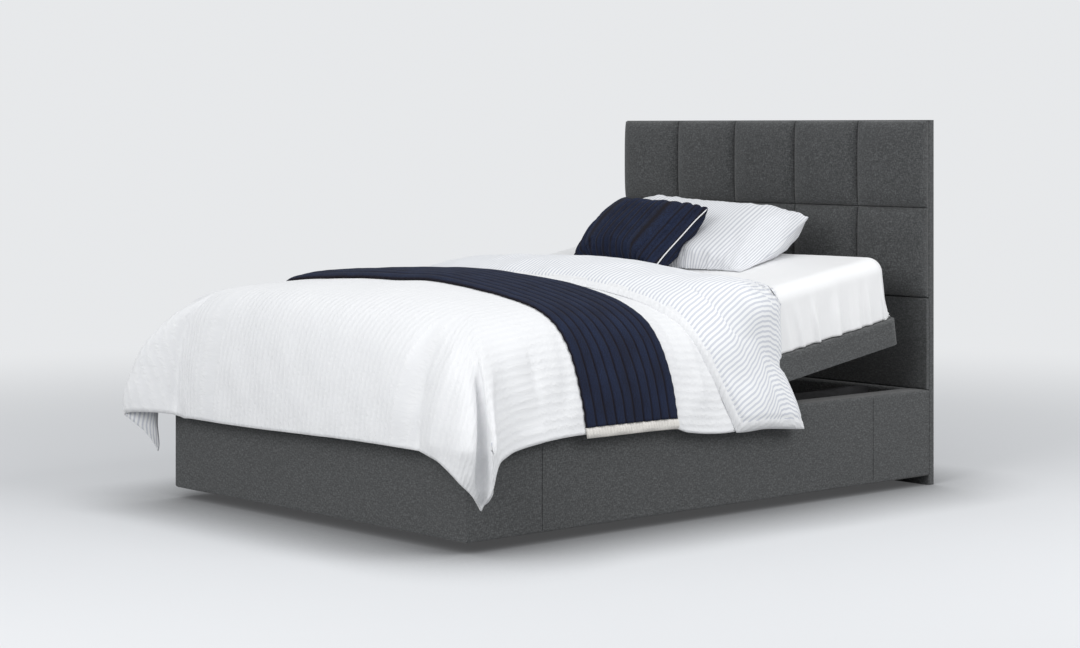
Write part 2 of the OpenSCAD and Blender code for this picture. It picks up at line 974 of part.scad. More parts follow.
module drive_motors() {
    color(board_dark)
        from_foot()
            for (side = [-1, 1])
                translate([0, drive_mid + side * (motor_l + mid_wall) / 2, drive_z0 - motor_r]) {
                    translate([0, motor_l / 2, 0])
                        rotate([90, 0, 0])
                            cylinder(h = motor_l, r = motor_r);
                    translate([-motor_r / 2, -motor_l / 2, 0])
                        cube([motor_r, motor_l, motor_r]);
                }
}

// A nut that runs on its screw and pushes the lever's end outward with its horn
module pusher(face, dir) {
    nut_half = screw_r + 2 * drive_wall;
    horn_t = lever_t;
    horn_h = back_shaft[1] - lever_l - screw_z + plate_gap;
    color(steel_grey)
        difference() {
            union() {
                translate([-nut_half, dir > 0 ? face - nut_l : face, screw_z - 2 * screw_r])
                    cube([2 * nut_half, nut_l, 3.5 * screw_r]);
                translate([-lever_t, dir > 0 ? face - horn_t : face, screw_z])
                    cube([2 * lever_t, horn_t, horn_h]);
            }
            translate([0, face - nut_l - cut, screw_z])
                rotate([-90, 0, 0])
                    cylinder(h = 2 * nut_l + 2 * cut, r = screw_r + run_gap);
        }
}

back_face = back_shaft[0] + back_tip[0] - lever_end_r - push_gap;
leg_face = leg_shaft[0] + leg_tip[0] + lever_end_r + push_gap;

module back_pusher() {
    from_foot()
        pusher(back_face, 1);
}

module leg_pusher() {
    from_foot()
        pusher(leg_face, -1);
}

// A plain screw from inside the middle wall to just short of the end wall
module drive_screw(y0, y1) {
    color(steel_grey)
        translate([0, y0, screw_z])
            rotate([-90, 0, 0])
                cylinder(h = y1 - y0, r = screw_r);
}

screw_seat = mid_wall / 2 - drive_wall;

module back_screw() {
    from_foot()
        drive_screw(drive_mid + mid_wall / 2 - screw_seat, drive_y1 - drive_wall - plate_gap);
}

module leg_screw() {
    from_foot()
        drive_screw(drive_y0 + drive_wall + plate_gap, drive_mid - mid_wall / 2 + screw_seat);
}

box_t = 45;
box_l = 160;
box_h = 90;
box_r = 8;
box_past_share = 0.5;
box_y0 = back_shaft[0] + bearing_w / 2 + box_l * box_past_share;
box_z0 = back_shaft[1] - box_h / 2;

module control_box() {
    color(plastic_black)
        from_foot()
            translate([rail_x - box_t, box_y0, box_z0])
                rotate([90, 0, 90])
                    linear_extrude(box_t)
                        round_rect(box_l, box_h, box_r);
}

gland_r = 7;
gland_l = 12;
gland_flange_r = 10;
gland_flange_t = 3;
gland_bore_r = 4;

// The cable's way into the control box
module cable_gland() {
    color(plastic_black)
        from_foot()
            translate([rail_x - box_t / 2, box_y0 + box_l, back_shaft[1]])
                rotate([-90, 0, 0])
                    difference() {
                        union() {
                            cylinder(h = gland_flange_t, r = gland_flange_r);
                            cylinder(h = gland_l, r = gland_r);
                        }
                        translate([0, 0, gland_flange_t])
                            cylinder(h = gland_l, r = gland_bore_r);
                    }
}

/* Mattress. Its blocks leave room for the fold over each hinge that bends upward. */

mattress_foot = mattress_inset;
mattress_end = deck_end - mattress_inset;
back_open = 31;
leg_open = 16;

module mattress_outline(y0, y1, r) {
    w = base_w - 2 * mattress_inset;
    translate([-w / 2, y0])
        round_rect(w, y1 - y0, r);
}

// A length of mattress, square below and round above
module mattress_length(y0, y1, inset, r) {
    w = base_w - 2 * inset;
    padded_length(-w / 2, y0, y1, deck_top - r, w, mattress_t + r, r);
}

// The mattress's foot corners are pressed down where the duvet's spare cloth hangs from them
module pressed_corners() {
    r = mattress_soft_r;
    for (side = [-1, 1])
        translate([side * (half_w - mattress_soft_inset - r), mattress_foot + r, mattress_top - r])
            rotate([0, 0, side * 45])
                rotate([45, 0, 0])
                    translate([-r, -r, r - corner_press])
                        cube([2 * r, 2 * r, 2 * r]);
}

// A block under the duvet, less what lies outside one side-view outline
module mattress_block(outline) {
    color(linen_white)
        intersection() {
            mattress_length(mattress_foot, back_y, mattress_soft_inset, mattress_soft_r);
            upright(deck_top, mattress_t + cut)
                mattress_outline(mattress_foot, mattress_end, mattress_soft_corner_r);
            plate(-half_w, base_w)
                translate([mattress_foot, deck_top - mattress_soft_r])
                    round_rect(mattress_end, mattress_t + mattress_soft_r, mattress_soft_r);
            plate(-half_w, base_w)
                polygon(outline);
        }
}

// The mattress's round ends, out by the given distance
module mattress_side_view(y1, out) {
    plate(-half_w, base_w)
        translate([mattress_foot, deck_top - out])
            round_rect(y1 - mattress_foot, mattress_t + 2 * out, mattress_r + out);
}

// The slanted end of a block at a hinge: side -1 lies before the hinge, +1 after it
function fold_low(y, side) = [y + side * half_gap, deck_top];
function fold_high(y, side, open) = [y + side * (half_gap + mattress_t * tan(open)), mattress_top];

module mattress_seat() {
    from_foot()
        mattress_block([fold_low(thigh_y, 1), fold_high(thigh_y, 1, leg_open),
            fold_high(back_y, -1, back_open), fold_low(back_y, -1)]);
}

// The back's block grows firmer from the hinge to where only the sheet covers it
soft_end = back_y + mattress_t / 3;
firm_start = duvet_end - mattress_t * 3 / 4;

module mattress_back() {
    color(linen_white)
        on_back()
            intersection() {
                union() {
                    mattress_length(back_y, soft_end, mattress_soft_inset, mattress_soft_r);
                    hull() {
                        mattress_length(soft_end - soft_gap, soft_end, mattress_soft_inset,
                            mattress_soft_r);
                        mattress_length(firm_start, firm_start + soft_gap, mattress_inset,
                            mattress_r);
                    }
                    mattress_length(firm_start, mattress_end, mattress_inset, mattress_r);
                }
                upright(deck_top, mattress_t + cut)
                    mattress_outline(mattress_foot, mattress_end, mattress_corner_r);
                mattress_side_view(mattress_end, 0);
                plate(-half_w, base_w)
                    polygon([fold_low(back_y, 1), fold_high(back_y, 1, back_open),
                        [base_l, mattress_top], [base_l, deck_top]]);
            }
}

module mattress_thigh() {
    from_foot()
        mattress_block([[knee_y + half_gap, deck_top], [knee_y + half_gap, mattress_top],
            fold_high(thigh_y, -1, leg_open), fold_low(thigh_y, -1)]);
}

module mattress_calf() {
    from_foot()
        color(linen_white)
            difference() {
                mattress_block([[-cut, deck_top], [-cut, mattress_top],
                    [knee_y - half_gap, mattress_top], [knee_y - half_gap, deck_top]]);
                pressed_corners();
            }
}

sheet_clear = 0.3;

// One layer of the sheet's outer shape, out by the given distance from the mattress
module sheet_layer(out) {
    w = base_w - 2 * mattress_inset + 2 * out;
    intersection() {
        padded_length(-w / 2, mattress_foot, mattress_end + out, deck_top - mattress_r, w,
            mattress_t + mattress_r + out, mattress_r + out);
        upright(deck_top, mattress_t + cut)
            translate([-w / 2, mattress_foot])
                round_rect(w, mattress_end - mattress_foot + out, mattress_corner_r + out);
        mattress_side_view(mattress_end + out, out);
    }
}

module fitted_sheet() {
    y0 = deck_end - sheet_reach;
    color(linen_white)
        on_back()
            difference() {
                intersection() {
                    sheet_layer(sheet_clear + sheet_t);
                    translate([-half_w, y0, deck_top + soft_gap])
                        cube([base_w, sheet_reach, mattress_t + cut]);
                }
                sheet_layer(sheet_clear);
                translate([-base_w, y0 - cut, deck_top - mattress_r])
                    cube([2 * base_w, cut, mattress_t]);
            }
}

/* Duvet. a runs across the bed from its middle, v along it from the foot, both on the cloth. */

// Where the cloth starts to turn down
edge_x = half_w + duvet_side_out - duvet_edge_w;
edge_s = duvet_edge_l - duvet_foot_out;

// How the cloth turns down, as shares of the edge's width and height. The near side slants,
// the far side stands fuller, and so do the two halves of the foot end.
near_side_shares = [[0, 0], [0.22, 0.01], [0.41, 0.04], [0.57, 0.095], [0.7, 0.19], [0.79, 0.33],
    [0.85, 0.475], [0.895, 0.625], [0.927, 0.775], [0.95, 1], [0.96, 1.3]];
far_side_shares = [[0, 0], [0.32, 0.001], [0.54, 0.003], [0.73, 0.018], [0.85, 0.08],
    [0.914, 0.175], [0.952, 0.325], [0.975, 0.5], [0.987, 0.675], [0.997, 0.85], [1, 1.3]];
near_foot_shares = [[0, 0], [0.24, 0.0125], [0.45, 0.045], [0.62, 0.105], [0.76, 0.205],
    [0.845, 0.33], [0.903, 0.475], [0.945, 0.625], [0.972, 0.775], [0.993, 1], [1, 1.3]];
far_foot_shares = [[0, 0], [0.31, 0.005], [0.517, 0.02], [0.672, 0.07], [0.776, 0.1625],
    [0.845, 0.3], [0.897, 0.4625], [0.931, 0.625], [0.955, 0.8], [0.972, 1], [0.98, 1.3]];

function run_to(line, i) = i == 0 ? 0 : run_to(line, i - 1) + norm(line[i] - line[i - 1]);
function ruled(shares, w) = let (
        line = [for (s = shares) [s[0] * w, s[1] * duvet_edge_h]],
        run = [for (i = [0 : len(line) - 1]) run_to(line, i)])
    [[for (i = [0 : len(line) - 1]) [run[i], line[i][0]]],
        [for (i = [0 : len(line) - 1]) [run[i], line[i][1]]],
        [for (i = [0 : len(line) - 1]) [line[i][1], run[i]]]];
near_side = ruled(near_side_shares, duvet_edge_w);
far_side = ruled(far_side_shares, duvet_edge_w);
near_foot = ruled(near_foot_shares, duvet_edge_l);
far_foot = ruled(far_foot_shares, duvet_edge_l);
function on_line(line, r) = [lookup(r, line[0]), lookup(r, line[1])];

function mixed(p, q, share) = p + (q - p) * share;
function eased(v, lo, hi) = let (t = min(1, max(0, (v - lo) / (hi - lo)))) t * t * (3 - 2 * t);

// Share of the near side's slant. It ends where the head end starts to lie full.
full_start = back_y - soft_gap;
full_end = duvet_end - mattress_t * 9 / 10;
function slant_share(a, v) = a > 0 ? 1 - eased(v, full_start, full_end) : 0;
function near_share(a) = eased(a, -edge_x, edge_x);
function edge_at(a, v, turn, r) = mixed(
    mixed(on_line(far_side, r), on_line(near_side, r), slant_share(a, v)),
    mixed(on_line(far_foot, r), on_line(near_foot, r), near_share(a)),
    pow(sin(turn), 2));

// The top's gentle round across the bed and towards the foot
far_dome_r = 14300;
near_dome_r = 4880;
far_dip_r = 6700;
near_dip_r = 2850;
dip_start = 400;
dip_head_start = 720;
dip_head_end = 1020;
function dome_r(a, v) = 1 / mixed(1 / far_dome_r, 1 / near_dome_r, slant_share(a, v));
function dip_r(a) = 1 / mixed(1 / far_dip_r, 1 / near_dip_r, near_share(a));

// A hanging corner's spare cloth stands out in a fold
corner_tuck_share = 0.165;
corner_power = 3;
ear_run_shares = [[0.41, 0], [0.54, 0.2], [0.72, 0.55], [0.85, 0.8], [0.97, 0.95], [1.12, 0.8],
    [1.26, 0.66], [1.4, 0.6]];

// A point of the duvet, at a depth under its outer surface
feel = 2;
function duvet_at(a, v, depth) = let (
        q = [max(abs(a) - edge_x, 0), max(edge_s - v, 0)],
        turn = norm(q) > 0 ? atan2(q[1], q[0]) : 0,
        corner = pow(sin(2 * turn), 2),
        r = norm(q) * (1 - corner_tuck_share * corner),
        p = edge_at(a, v, turn, r),
        d = edge_at(a, v, turn, r + feel) - edge_at(a, v, turn, max(0, r - feel)),
        out = p[0] - depth * d[1] / norm(d),
        drop = p[1] + depth * d[0] / norm(d),
        power = 2 / (2 + corner_power * eased(r, 0, duvet_edge_w * 2 / 3)),
        x = min(abs(a), edge_x) + out * pow(max(0, cos(turn)), power),
        s = max(v, edge_s) - out * pow(max(0, sin(turn)), power),
        level_share = pow(sin(turn), 2) * eased(drop, 0, duvet_edge_h * 3 / 4),
        z = duvet_top - head_dip * eased(v, dip_head_start, dip_head_end)
            - x * x / dome_r(a, v) * (1 - level_share)
            - pow(max(0, dip_start - s), 2) / dip_r(a) - drop,
        g = corner > 0 ? lookup(r / hem_near, ear_run_shares) * corner : 0)
    [(a < 0 ? -1 : 1) * mixed(x, ear_x - depth, g), mixed(s, -ear_s + depth, g), z];

// Cloth from the edge lines down to the hems
function hem_of(line, w, r) = lookup(duvet_top - w * w / r - duvet_hem_h, line[2]);
side_share = 0.93;
hem_near = hem_of(near_side, edge_x + side_share * duvet_edge_w, near_dome_r);
hem_far = hem_of(far_side, edge_x + duvet_edge_w, far_dome_r);
foot_near = hem_of(near_foot, dip_start + duvet_foot_out, near_dip_r);
foot_far = hem_of(far_foot, dip_start + duvet_foot_out, far_dip_r);
function side_run(side, v) = side < 0 ? hem_far : mixed(hem_far, hem_near, slant_share(1, v));
function foot_run(a) = mixed(foot_far, foot_near, near_share(a));

// Places across the cloth, from the far hem to the near one
flat_shares = [0, 0.35, 0.7, 1];
edge_shares = [0.18, 0.34, 0.47, 0.58, 0.69, 0.81, 0.96, 1];
function side_steps(run) = concat(
    [for (s = flat_shares) s * edge_x],
    [for (s = edge_shares) edge_x + s * run]);
function across(v, fall) = let (
        far = side_steps(side_run(-1, v) + fall),
        near = side_steps(side_run(1, v) + fall))
    concat([for (i = [len(far) - 1 : -1 : 1]) -far[i]], near);
n_across = 2 * (len(flat_shares) + len(edge_shares) - 1);

// Depth of the duvet's inner surface: down to the bed on top, thin where it hangs
hem_band_share = 0.12;
function duvet_depth(a, v, fall) = let (
        q = [max(abs(a) - edge_x, 0), max(edge_s - v, 0)],
        left = min(1 - q[0] / (side_run(a, v) + fall), 1 - q[1] / foot_run(a)),
        hem = min(1, max(0, left / hem_band_share)),
        over = duvet_at(a, v, 0)[2] - bed_top,
        held = duvet_hem_t + (duvet_side_t - duvet_hem_t) * eased(-over, 0, 3 * duvet_side_t),
        full = max(held, over))
    duvet_hem_t + (full - duvet_hem_t) * sqrt(hem);

// The duvet raised with the back section by a given angle
function raised(p, angle) = let (q = turned([p[1] - back_y, p[2] - axis_z], angle))
    [p[0], q[0] + back_y, q[1] + axis_z];

// The foot end, from the knee down to its hem
foot_shares = [0, 0.5, 1];
function foot_rows() = concat(
    [for (s = foot_shares) knee_y - s * (knee_y - edge_s)],
    [for (s = edge_shares) edge_s - s * foot_far]);
function foot_place(a, v) = v < edge_s ? edge_s - (edge_s - v) * foot_run(a) / foot_far : v;
function foot_point(a, v, inner) = let (w = foot_place(a, v))
    duvet_at(a, w, inner ? duvet_depth(a, w, 0) : 0) - [0, soft_gap / 2, 0];

// Shift that puts the middle of the whole bed's length at the origin, from the duvet's furthest
// reach past the foot panel to the headboard's back
duvet_reach = max([for (a = across(0, 0), v = foot_rows()) -foot_point(a, v, false)[1]]);
foot_y = -(base_l + headboard_t - duvet_reach) / 2;

module duvet_foot() {
    rows = foot_rows();
    m = len(rows) - 1;
    color(linen_white)
        from_foot()
            soft_form([for (i = [m : -1 : 0], a = across(0, 0)) foot_point(a, rows[i], false)],
                [for (i = [m : -1 : 0], a = across(0, 0)) foot_point(a, rows[i], true)],
                m, n_across);
}

// The bed bends smoothly over the seat up to the raised back
duvet_above = mattress_t + duvet_t + duvet_crown;
fold_start = thigh_y - duvet_above * tan(leg_open) - duvet_t / 2;
head_start = back_y + duvet_above * tan(back_open) + duvet_t;
bend_start = fold_start + mattress_t * 3 / 4;
bend_end = head_start - mattress_t / 2;
function bend_angle(v) = back_rest * eased(v, bend_start, bend_end);

// Extra thickness and fall of the turned-back part
turned_start = duvet_end - turned_w;
turned_rise_shares = [[0, 0], [0.1, 0.7], [0.3, 1], [0.5, 1], [0.75, 0.77], [0.92, 0.42], [1, 0.08]];
turned_side_share = 0.5;
function turned_extra(a, v) = turned_t
    * (v < turned_start ? 0 : lookup((v - turned_start) / turned_w, turned_rise_shares))
    * (abs(a) > edge_x + duvet_edge_w / 2 ? turned_side_share : 1);
function turned_drop(v) = turned_fall * max(0, 1 - (duvet_end - v) / turned_w * 4 / 3);

// A row of the duvet across the bed
function row_points(v, inner) = let (fall = turned_drop(v))
    [for (a = across(v, fall)) raised(
        duvet_at(a, v, inner ? duvet_depth(a, v, fall) : -turned_extra(a, v)),
        bend_angle(v))];

module duvet_stretch(rows) {
    soft_form([for (v = rows) each row_points(v, false)],
        [for (v = rows) each row_points(v, true)], len(rows) - 1, n_across);
}

// The thigh's stretch slants back below the knee so that the knee can close there
knee_close = 31;
function knee_slant(p) = let (low = max(0, knee_z - p[2]))
    [p[0], max(p[1], knee_y + soft_gap / 2 + low * tan(knee_close)), p[2]];

module duvet_thigh() {
    rows = [knee_y + soft_gap / 2, (knee_y + fold_start) / 2, fold_start];
    color(linen_white)
        from_foot()
            soft_form([for (v = rows, p = row_points(v, false)) knee_slant(p)],
                [for (v = rows, p = row_points(v, true)) knee_slant(p)],
                len(rows) - 1, n_across);
}

middle_rows = 7;
module duvet_middle() {
    lo = fold_start + soft_gap;
    step = (turned_start - lo) / middle_rows;
    color(linen_white)
        from_foot()
            duvet_stretch(concat([for (i = [0 : middle_rows]) lo + i * step],
                [for (i = [1, 2]) turned_start + turned_rise_shares[i][0] * turned_w * 2 / 3],
                [head_start - soft_gap]));
}

head_shares = [0, 0.3, 0.6, 0.85, 0.96, 1];
module duvet_head() {
    color(stripe_grey)
        from_foot()
            duvet_stretch([for (s = head_shares) head_start + s * (duvet_end - head_start)]);
}

// The pleated throw lies over the duvet, with its pleats along its own length. It follows the
// duvet's own steps and only its last step goes on to the throw's end.
throw_lift = 0.8;
throw_over = duvet_hem_h - throw_hem_h;
module bed_throw() {
    steps = 2 * pleats;
    rows = [for (i = [0 : steps]) throw_start + throw_w * i / steps];
    function at(v, a, h) = let (
            last = abs(a) > edge_x + side_run(a, v) - soft_gap,
            p = duvet_at(last ? a + sign(a) * throw_over : a, v, -h))
        raised(p, bend_angle(v));
    color(navy)
        from_foot()
            soft_form(
                [for (i = [0 : steps], a = across(rows[i], 0))
                    at(rows[i], a, throw_lift + throw_t + (i % 2) * pleat_h)],
                [for (i = [0 : steps], a = across(rows[i], 0)) at(rows[i], a, throw_lift)],
                steps, n_across);
}

/* Pillow and cushion, which lie on the raised back section */

// A sewn pad: crown in the middle, sides drawn in between its corners
draw_share = 0.05;
function pad_point(a, b, size, side, channel) = [
    size[0] / 2 * a * (1 - draw_share * (1 - b * b)),
    size[1] / 2 * b * (1 - draw_share * (1 - a * a)),
    side * (pad_seam_t / 2 + (size[2] - pad_seam_t) / 2 * swell(a, b, pad_power) * channel)];
pad_seam_t = 6;
pad_power = 2.6;

// Turned about the width by tilt, then about the upright by yaw, moved to its place and pressed
// flat where it would sink into the bed
function placed(p, place, tilt, yaw) = let (
        q = turned([p[1], p[2]], tilt),
        x = p[0] * cos(yaw) - q[0] * sin(yaw),
        y = p[0] * sin(yaw) + q[0] * cos(yaw))
    [x + place[0], y + place[1], max(q[1] + place[2], bed_top)];

pillow_back_share = 0.42;
pillow_up_share = 0.52;
pillow_place = [0, mattress_end - pillow_l * pillow_back_share,
    bed_top + pillow_t * pillow_up_share];
pillow_tilt = 22;
// The side that lies on the bed swells until it is pressed flat there
pillow_rest_share = 1.9;
pad_steps_share = [-1, -0.94, -0.8, -0.55, -0.2, 0.2, 0.55, 0.8, 0.94, 1];

module pillow() {
    n = len(pad_steps_share) - 1;
    size = [pillow_w, pillow_l, pillow_t];
    color(stripe_grey)
        on_back()
            soft_form(
                [for (b = pad_steps_share, a = pad_steps_share)
                    placed(pad_point(a, b, size, 1, 1), pillow_place, pillow_tilt, 0)],
                [for (b = pad_steps_share, a = pad_steps_share)
                    placed(pad_point(a, b, size, -1, pillow_rest_share), pillow_place,
                        pillow_tilt, 0)], n, n);
}

cushion_x = -98;
cushion_back_share = 0.37;
cushion_up_share = 1.1;
cushion_place = [cushion_x, pillow_place[1] - pillow_l * cushion_back_share,
    bed_top + cushion_t * cushion_up_share];
cushion_tilt = 33;
cushion_yaw = -10;
channel_share = 0.84;
// The side that lies on the pillow is pressed to a share of its fullness
pressed_share = 0.45;
cushion_rows_share = [-1, -0.9, -0.6, -0.2, 0.2, 0.6, 0.9, 1];

module pleated_cushion() {
    steps = 2 * cushion_channels;
    m = len(cushion_rows_share) - 1;
    size = [cushion_w, cushion_l, cushion_t];
    function deep(i) = i % 2 == 0 && i > 0 && i < steps ? channel_share : 1;
    color(navy)
        on_back()
            soft_form(
                [for (b = cushion_rows_share, i = [0 : steps])
                    placed(pad_point(2 * i / steps - 1, b, size, 1, deep(i)), cushion_place,
                        cushion_tilt, cushion_yaw)],
                [for (b = cushion_rows_share, i = [0 : steps])
                    placed(pad_point(2 * i / steps - 1, b, size, -1, pressed_share),
                        cushion_place, cushion_tilt, cushion_yaw)], m, steps);
}

side_panel_left();
side_panel_right();
foot_panel();
head_panel();
corner_blocks();
cross_rails();
inner_rails();
dust_cover();
glide_feet();
headboard_board();
headboard_lower_panel();
headboard_tiles();
headboard_bolts();
seat_core();
seat_cover();
support_brackets();
seat_hinge_leaves();
seat_hinge_pins();
shaft_bearings();
drive_housing();
drive_motors();
control_box();
cable_gland();
back_core();
back_cover();
back_hinge_leaves();
back_brackets();
back_lift_shaft();
back_lift_arms();
back_links();
back_pusher();
back_screw();
thigh_core();
thigh_cover();
thigh_hinge_leaves();
thigh_brackets();
knee_hinge_pins();
calf_core();
calf_cover();
calf_hinge_leaves();
calf_brackets();
leg_lift_shaft();
leg_lift_arms();
leg_links();
leg_pusher();
leg_screw();
calf_links();
mattress_seat();
mattress_back();
mattress_thigh();
mattress_calf();
fitted_sheet();
duvet_foot();
duvet_thigh();
duvet_middle();
duvet_head();
bed_throw();
pillow();
pleated_cushion();
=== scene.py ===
# %% [markdown]
# This lesson dresses an upholstered adjustable bed in Blender: a heathered wool-grey base and
# headboard, a mattress with a stretched sheet, a white duvet that is turned back to its
# striped underside, a navy pleated throw, a striped pillow and a pleated cushion.
# The rigid parts come from the packed CAD model, which stays as it is. Only the soft parts
# are built here, because cloth is easier to shape with grids and a simulation than in CAD.

# %% The frame and the tools
import json
import math

import bpy
import numpy as np
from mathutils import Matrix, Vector


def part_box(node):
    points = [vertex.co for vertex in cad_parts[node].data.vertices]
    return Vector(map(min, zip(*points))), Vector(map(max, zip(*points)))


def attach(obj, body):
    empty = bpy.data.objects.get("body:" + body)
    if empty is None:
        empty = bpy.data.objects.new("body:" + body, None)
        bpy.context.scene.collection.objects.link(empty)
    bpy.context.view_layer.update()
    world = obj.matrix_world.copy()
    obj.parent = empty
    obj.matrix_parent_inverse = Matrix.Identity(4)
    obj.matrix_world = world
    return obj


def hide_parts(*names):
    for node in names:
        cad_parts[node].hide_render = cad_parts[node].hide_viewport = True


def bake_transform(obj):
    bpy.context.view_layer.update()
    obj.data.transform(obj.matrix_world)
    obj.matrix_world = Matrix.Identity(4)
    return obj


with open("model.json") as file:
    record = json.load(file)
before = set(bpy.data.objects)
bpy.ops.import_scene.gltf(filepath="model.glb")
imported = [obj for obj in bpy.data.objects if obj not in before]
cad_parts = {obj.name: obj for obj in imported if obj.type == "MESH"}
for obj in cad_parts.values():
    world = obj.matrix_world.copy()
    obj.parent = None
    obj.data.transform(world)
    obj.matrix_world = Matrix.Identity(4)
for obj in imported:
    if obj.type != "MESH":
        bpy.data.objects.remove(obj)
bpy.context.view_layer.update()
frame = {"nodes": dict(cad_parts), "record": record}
FOOT_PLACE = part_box("foot_panel")[0].y  # the foot panel's face in the bed's frame
scene = bpy.context.scene

# %% [markdown]
# The bed is seen from a little over a metre high, from its near foot corner, with the upright
# lines kept upright. Tilting the camera down would make them lean, so a level camera with a
# vertical lens shift is the better way. Its numbers come from the bed's straight edges.

# %% The camera
LENS, SENSOR, LENS_SHIFT = 81.75, 36.0, -0.1828  # mm, mm, share of the sensor's width
CAMERA_PLACE = (5.608, FOOT_PLACE - 4.1488, 1.1262)
CAMERA_TURN = math.radians(48.154)  # from looking along the bed towards looking across it

camera_data = bpy.data.cameras.new("camera")
camera_data.lens = LENS
camera_data.sensor_width = SENSOR
camera_data.sensor_fit = "HORIZONTAL"
camera_data.shift_y = LENS_SHIFT
camera_data.clip_end = 100.0
camera = bpy.data.objects.new("camera", camera_data)
camera.location = CAMERA_PLACE
camera.rotation_euler = (math.radians(90), 0, CAMERA_TURN)
scene.collection.objects.link(camera)
scene.camera = camera
print("camera", tuple(round(v, 3) for v in camera.location), "lens", camera_data.lens)

# %% [markdown]
# Materials could be wired node by node, but then their arithmetic is hard to read. Here they
# are written as sums: a small class wraps a node's output, so `1 - weave * 0.3` adds its Math
# nodes by itself.

# %% A value in a sum
class Value:
    """One output of a node, which can be used in a sum"""

    def __init__(self, nodes, socket):
        self.nodes = nodes
        self.socket = socket

    def sum(self, operation, first, second):
        return self.nodes.node("Math", {"operation": operation}, {0: first, 1: second})

    def __add__(self, other):
        return self.sum("ADD", self, other)

    def __sub__(self, other):
        return self.sum("SUBTRACT", self, other)

    def __rsub__(self, other):
        return self.sum("SUBTRACT", other, self)

    def __mul__(self, other):
        return self.sum("MULTIPLY", self, other)

    def __pow__(self, other):
        return self.sum("POWER", self, other)

    __radd__ = __add__
    __rmul__ = __mul__


print("sums of", ", ".join(name for name in ("add", "sub", "mul", "pow")
                           if hasattr(Value, f"__{name}__")))

# %% [markdown]
# Every other node comes from one method. It takes the node's type, then its settings, because
# some of them change which sockets there are, and then the values or links of its sockets.
# The same method serves the sky and the materials.

# %% Nodes
class Nodes:
    """A tree of shader nodes"""

    def __init__(self, tree):
        self.tree = tree

    def node(self, kind, settings=None, inputs=None, out=0):
        """Adds a node: first its settings, then the values or links of its sockets"""
        made = self.tree.nodes.new("ShaderNode" + kind)
        for key, value in (settings or {}).items():
            if key == "stops":
                self.stops(made.color_ramp.elements, value)
            else:
                setattr(made, key, value)
        for key, value in (inputs or {}).items():
            self.feed(made.inputs[key], value)
        return Value(self, made.outputs[out])

    def stops(self, ramp, stops):
        """Sets a ramp's stops, each a place and a grey or a colour"""
        while len(ramp) < len(stops):
            ramp.new(0.5)
        for stop, (place, colour) in zip(ramp, stops):
            stop.position = place
            stop.color = (*colour, 1.0) if isinstance(colour, tuple) else (colour,) * 3 + (1.0,)

    def feed(self, socket, value):
        """Gives a socket a link, a colour or a number"""
        if isinstance(value, Value):
            self.tree.links.new(value.socket, socket)
        elif isinstance(value, tuple) and socket.type == "RGBA":
            socket.default_value = (*value, 1.0)
        else:
            socket.default_value = value

    def show(self, output, value):
        """Links a shader to the tree's own output node"""
        self.feed(self.tree.nodes[output].inputs["Surface"], value)


print("one method makes", len([name for name in dir(bpy.types) if name.startswith("ShaderNode")]),
      "types of node")

# %% [markdown]
# Soft studio light: an even pale sky, a broad lamp from the right, one as broad from beyond
# the foot end, and a weak one above. The sky shows a pale grey to the camera and to mirrors,
# and its own light is set apart, so that the backdrop's colour never changes how bright the
# bed is. A photographed room as a sky would light it too, but not so evenly.

# %% Sky and lamps
BACKDROP = (0.800, 0.812, 0.827)
SKY_TINT = (0.97, 0.985, 1.0)


def soft_sky(strength):
    """A plain sky: one colour where it is seen, another strength where it lights"""
    scene.world = bpy.data.worlds.new("studio")
    scene.world.use_nodes = True
    sky = Nodes(scene.world.node_tree)
    light = sky.node("Background", None, {"Color": SKY_TINT, "Strength": strength})
    seen = sky.node("Background", None, {"Color": BACKDROP})
    seen_rays = sky.node("Math", {"operation": "MAXIMUM"},
                         {0: sky.node("LightPath", out="Is Camera Ray"),
                          1: sky.node("LightPath", out="Is Glossy Ray")})
    sky.show("World Output", sky.node("MixShader", None, {0: seen_rays, 1: light, 2: seen}))


def lamp(name, place, aim, size, watts):
    """A square area lamp at a place, turned towards a point"""
    data = bpy.data.lights.new(name, "AREA")
    data.energy = watts
    data.size = size
    made = bpy.data.objects.new(name, data)
    made.location = place
    made.rotation_euler = (Vector(aim) - Vector(place)).to_track_quat("-Z", "Y").to_euler()
    scene.collection.objects.link(made)


soft_sky(0.63)
lamp("key_lamp", (4.2, 1.3, 3.2), (0, 0.2, 0.4), 2.6, 112)
lamp("top_lamp", (-0.6, -0.8, 4.2), (0, 0, 0.4), 3.2, 8)
lamp("front_lamp", (1.2, -4.8, 3.0), (0, 1.0, 1.0), 3.0, 128)
scene.view_settings.view_transform = "Standard"

# %% [markdown]
# A finish is a material that starts from the general shader. What is the same all over it is
# set once, by name. What changes over its surface is a sum that feeds a socket. The words for
# these sums are few: where a point is, a noise, a blend, a wave and a bump.

